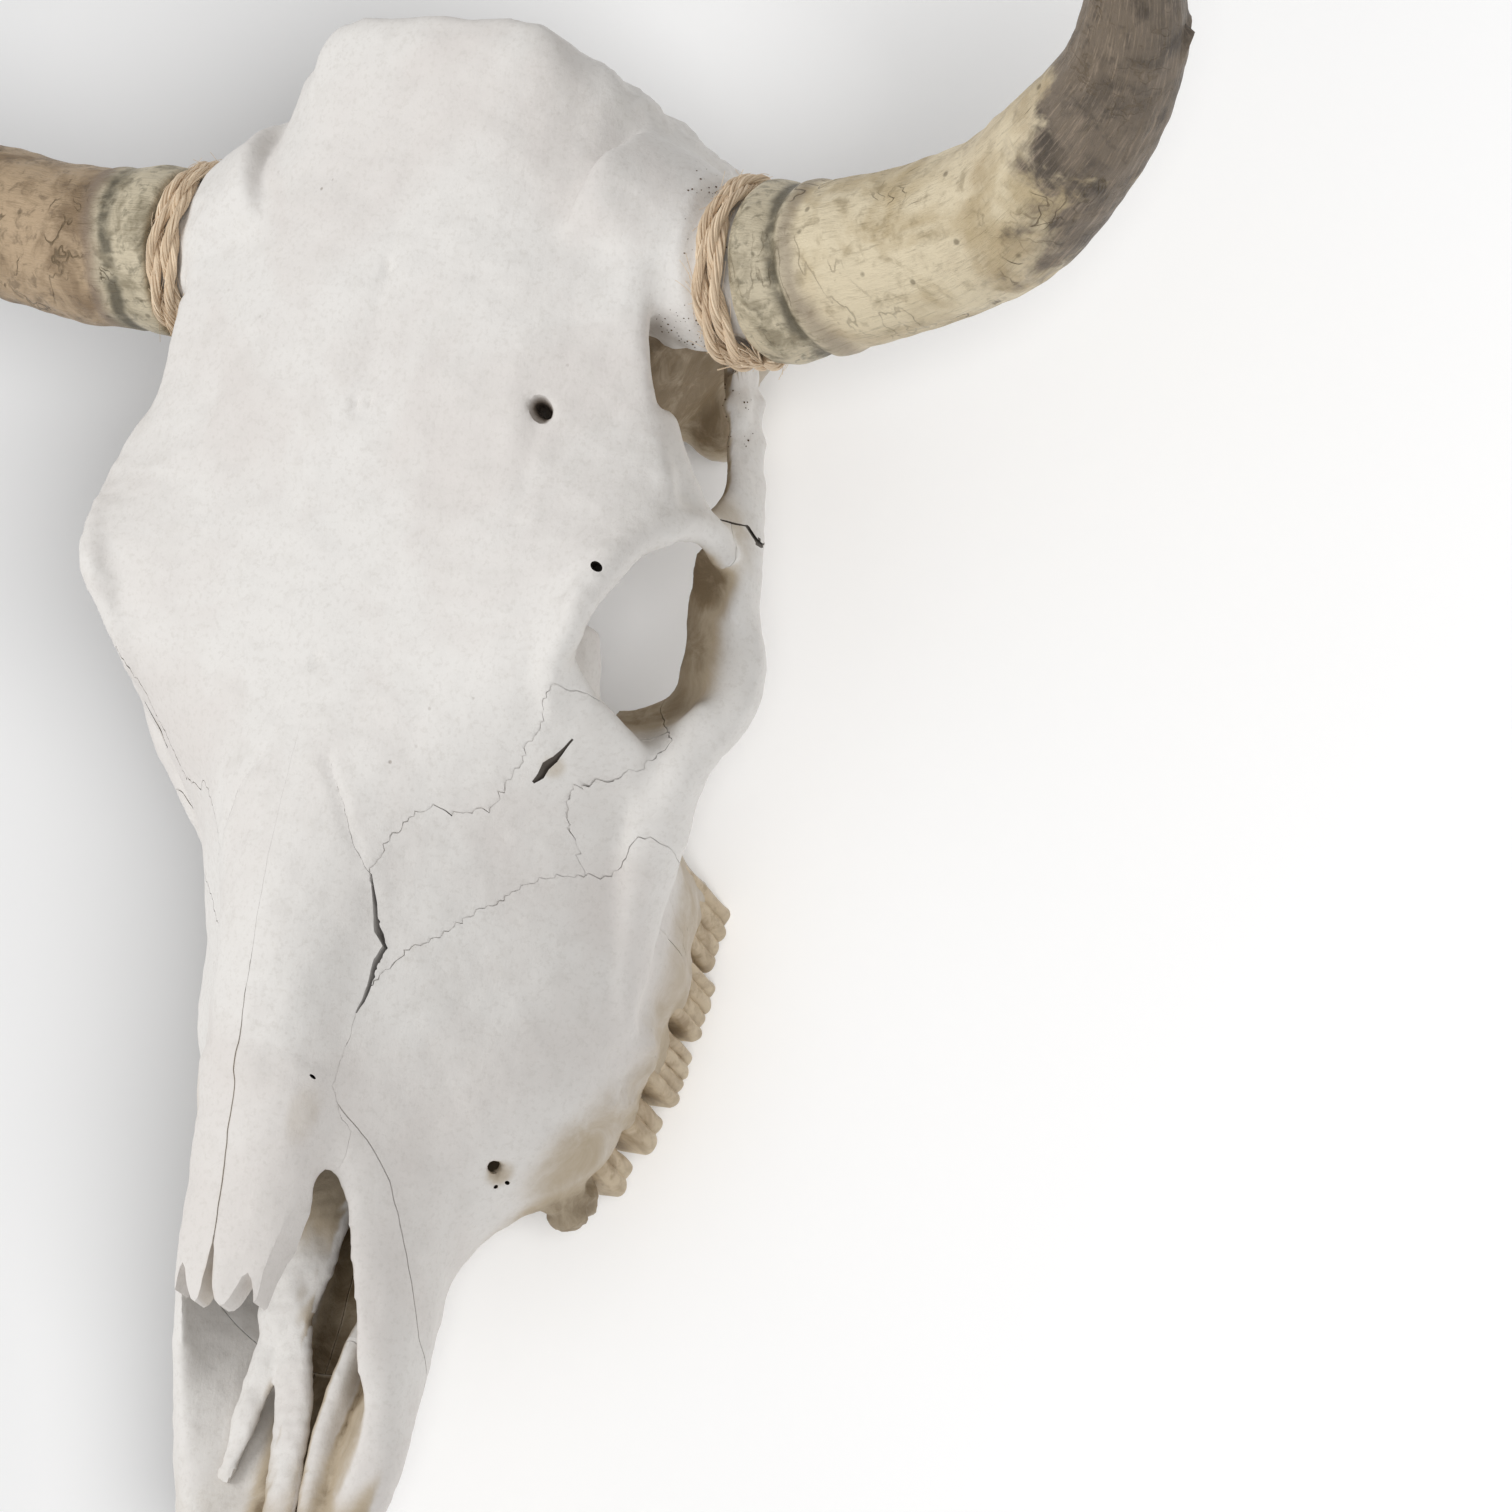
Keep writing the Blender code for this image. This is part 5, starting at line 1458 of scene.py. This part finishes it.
def horn_material(name, groups, side):
    """Layered horn, whose colours change along the sheath."""
    brown, seed = BROWN[side], HORN_COLOUR_SEED[side]
    material, m, shader = new_material(name, 0.5)
    shader.inputs["Specular IOR Level"].default_value = 0.4
    fibre = m.attribute("fibre", vector=True)
    where = m.place()
    along = m.attribute("along")
    ring = m.plus(m.attribute("ring"), m.times(m.minus(m.noise(where, 45.0, 4.0, 0.6), 0.5), 9.0))
    wander = m.noise(where, 19.0, 5.0, 0.62, 0.7)
    shifted = m.plus(along, m.times(m.minus(wander, 0.5), 130.0))
    # Turned towards the muzzle and the ground, the dark end reaches further down the horn.
    turned_down = m.add("ShaderNodeVectorMath", {0: fibre, 1: (0.70, 0.35, 0.0)}, operation="DOT_PRODUCT")
    fibre = m.add("ShaderNodeVectorMath", {0: fibre, 1: (seed, seed, seed)}, operation="ADD").outputs[0]
    broken = m.times(m.minus(m.noise(where, 75.0, 4.0, 0.65, 0.5), 0.5), 70.0)
    shifted = m.plus(m.plus(shifted, turned_down.outputs["Value"]), broken)
    first = mottled(m, groups, where, ((208, 196, 170), (138, 127, 103), (98, 90, 70)), (0.8, 0.6), (85.0, 260.0))
    cream = mottled(m, groups, where, ((226, 212, 182), (178, 157, 117), (134, 117, 84)), (0.75, 0.45), (34.0, 150.0))
    tan = mottled(m, groups, where, ((186, 162, 132), (134, 111, 84), (104, 86, 64)), (0.85, 0.6), (60.0, 230.0))
    dark = mottled(m, groups, where, ((122, 109, 94), (66, 58, 50), (58, 51, 44)), (0.85, 0.6), (42.0, 120.0))
    pale_fibres = m.between(m.noise(fibre, 0.7, 5.0, 0.72), 0.48, 0.70)
    dark = m.mix(m.times(pale_fibres, 0.55), dark, colour(172, 154, 134))
    warm = m.times(m.between(m.noise(where, 15.0, 4.0, 0.6), 0.58 - 0.42 * brown, 0.72 - 0.32 * brown), brown)
    body = m.mix(warm, cream, tan)
    base = m.mix(m.between(ring, 17.0, 26.0), first, m.mix(0.55, body, colour(132, 118, 106)))
    base = m.mix(m.between(ring, 25.0, 30.0), base, body)
    base = m.mix(m.between(shifted, *DARK_FROM[side]), base, dark)
    groove = m.times(m.between(ring, 11.5, 15.0), m.between(ring, 20.5, 17.0))
    patches = m.between(m.noise(where, 70.0, 4.0, 0.6), 0.30, 0.55)
    base = m.mix(m.times(m.times(groove, patches), 0.85), base, colour(82, 76, 60))
    streaks = m.noise(fibre, 0.85, 5.0, 0.7)
    base = m.mix(m.times(m.between(streaks, 0.50, 0.75), 0.40), base, colour(108, 92, 64))
    curl = m.math("ABSOLUTE", m.minus(m.noise(where, 62.0, 2.0, 0.5, 1.6), 0.5))
    cracks = m.times(m.between(curl, 0.022, 0.004), m.between(m.noise(where, 34.0, 3.0, 0.6), 0.57, 0.66))
    across = m.math("ABSOLUTE", m.minus(m.noise(m.stretched(fibre, (0.10, 0.10, 1.5)), 0.55, 3.0, 0.5), 0.5))
    splits = m.times(m.between(across, 0.020, 0.003), m.between(m.noise(where, 28.0, 3.0, 0.6), 0.52, 0.62))
    cracks = m.math("MAXIMUM", cracks, m.times(splits, 0.3 + 0.7 * brown))
    base = m.mix(m.times(cracks, 0.75), base, colour(92, 76, 50))
    specks = placed_group(m, groups["pores"], {"Vector": where, "Scale": 170.0, "Size": 0.24, "Share": 0.16})["Mask"]
    base = m.mix(m.times(specks, 0.6), base, colour(84, 70, 46))
    fine = m.noise(fibre, 2.6, 3.0, 0.6)
    height = m.plus(m.times(streaks, 0.8), m.times(fine, 0.5))
    height = m.minus(height, m.times(cracks, 0.6))
    roughness = m.plus(m.times(streaks, 0.3), 0.32)
    finish_material(m, shader, base, roughness, height, 0.0006)
    return material


def jute(groups):
    material, m, shader = new_material("Jute", 0.9)
    shader.inputs["Sheen Weight"].default_value = 0.15
    where = m.place()
    shade = m.attribute("shade")
    noise = m.noise(where, 500.0, 3.0, 0.6)
    share = m.plus(m.times(shade, 0.65), m.times(noise, 0.35), clamp=True)
    base = m.mix(share, colour(176, 148, 116), colour(248, 228, 200))
    finish_material(m, shader, base, 0.9, noise, 0.0004)
    return material


def soil():
    material, m, shader = new_material("Soil", 0.95)
    noise = m.noise(m.place(), 900.0, 3.0, 0.6)
    finish_material(m, shader, m.mix(noise, colour(58, 46, 34), colour(126, 106, 82)), 0.95, noise, 0.0005)
    return material


def floor_material():
    material, _, shader = new_material("Pale floor", 0.9)
    shader.inputs["Base Color"].default_value = (0.95, 0.95, 0.95, 1)
    shader.inputs["Specular IOR Level"].default_value = 0.0
    return material


# ---------------------------------------------------------------- the photograph's camera, floor and light


def set_camera():
    data = bpy.data.cameras.new("camera")
    data.sensor_width = 36
    data.lens = FOCAL_PIXELS / IMAGE_SIDE * data.sensor_width
    data.clip_end = 50
    camera = bpy.data.objects.new("camera", data)
    bpy.context.scene.collection.objects.link(camera)
    back = Vector(REST @ np.array(CAMERA_BACK)).normalized()
    up = Vector(REST @ np.array(CAMERA_UP))
    right = up.cross(back).normalized()
    up = back.cross(right)
    turn = Matrix((right, up, back)).transposed().to_4x4()
    camera.matrix_world = Matrix.Translation(Vector(placed(CAMERA_PLACE))) @ turn
    bpy.context.scene.camera = camera


def area_light(name, toward, distance, size, power, lit):
    """A round soft light that shines from a direction at the objects in one collection."""
    data = bpy.data.lights.new(name, "AREA")
    data.shape = "DISK"
    data.size = size
    data.energy = power
    light = bpy.data.objects.new(name, data)
    bpy.context.scene.collection.objects.link(light)
    toward = Vector(toward).normalized()
    light.location = toward * distance + Vector((0, 0, 0.1))
    light.rotation_euler = toward.to_track_quat("Z", "Y").to_euler()
    light.light_linking.receiver_collection = lit


def set_stage():
    """A pale floor and soft light: one lamp shapes the bones and one throws the shadow on the floor."""
    bm = bmesh.new()
    bmesh.ops.create_grid(bm, x_segments=1, y_segments=1, size=6)
    floor = object_from("floor", bm)
    floor.data.materials.append(floor_material())
    floor_only = bpy.data.collections.new("floor_only")
    floor_only.objects.link(floor)
    area_light("overhead", (-0.46, -0.06, 1.0), 2.2, 1.4, 25, SKULL_PIECES)
    area_light("front", (0.20, -0.65, 0.74), 2.4, 1.6, 10, SKULL_PIECES)
    area_light("floor_key", (0.70, -0.20, 0.72), 3.0, 1.3, 70, floor_only)
    world = bpy.data.worlds.new("studio")
    bpy.context.scene.world = world
    world.use_nodes = True
    world.node_tree.nodes["Background"].inputs["Color"].default_value = (1, 1, 1, 1)
    world.node_tree.nodes["Background"].inputs["Strength"].default_value = 0.45
    bpy.context.scene.view_settings.view_transform = "Standard"


def finish_piece(obj, material, slot, *nodes):
    SKULL_PIECES.objects.link(obj)
    obj.data.materials.clear()
    obj.data.materials.append(material)
    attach(obj, "root")
    if nodes:
        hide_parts(*nodes)


def smooth_shaded(obj, angle=40):
    obj.data.shade_smooth()
    obj.data.set_sharp_from_angle(angle=math.radians(angle))


def rest_on_floor(obj):
    """Nothing reaches below the surface that the skull lies on."""
    points = read_points(obj)
    world = placed(points)
    world[:, 2] = np.maximum(world[:, 2], 0.0)
    obj.data.vertices.foreach_set("co", world.astype(np.float32).ravel())
    obj.data.update()


def main():
    set_camera()
    set_stage()
    groups = {"mottling": mottling_group(), "pores": pores_group()}
    bone_finish = bleached_bone(groups)
    horn_finish = {side: horn_material(f"Horn, {word}", groups, side) for side, word in SIDES}
    soil_finish = soil()
    jute_finish = jute(groups)
    teeth_finish = stained_enamel(groups)

    skull = whole_skull()
    neck_cores(skull)
    soften(skull)
    sculpt(skull)
    note_hidden(skull)
    bones = part_bones(skull)
    for side, _ in SIDES:
        combine(bones["cranium"], beyond_core(side), "DIFFERENCE")
    keep_largest(bones["cranium"])
    bones["vomer"] = vomer()
    for node, piece in bones.items():
        piece.name = f"{node}_bone"
        rest_on_floor(piece)
        thin_out(piece, MOST_TRIANGLES)
        note_stain_and_shade(piece)
        smooth_shaded(piece)
        finish_piece(piece, bone_finish, "bone", node)
    crumbs = soil_crumbs(bones["cranium"])
    finish_piece(crumbs, soil_finish, "bone")
    for side, word in SIDES:
        teeth = tooth_row(side, word)
        rest_on_floor(teeth)
        smooth_shaded(teeth, 50)
        finish_piece(teeth, teeth_finish, "bone")
        sheath = horn_sheath(f"horn_sheath_{word}", side)
        smooth_shaded(sheath, 60)
        finish_piece(sheath, horn_finish[side], "horn", f"horn_{word}")
        cord = jute_cord(f"rope_cord_{word}", side)
        smooth_shaded(cord, 60)
        finish_piece(cord, jute_finish, "jute", f"rope_{word}")


main()
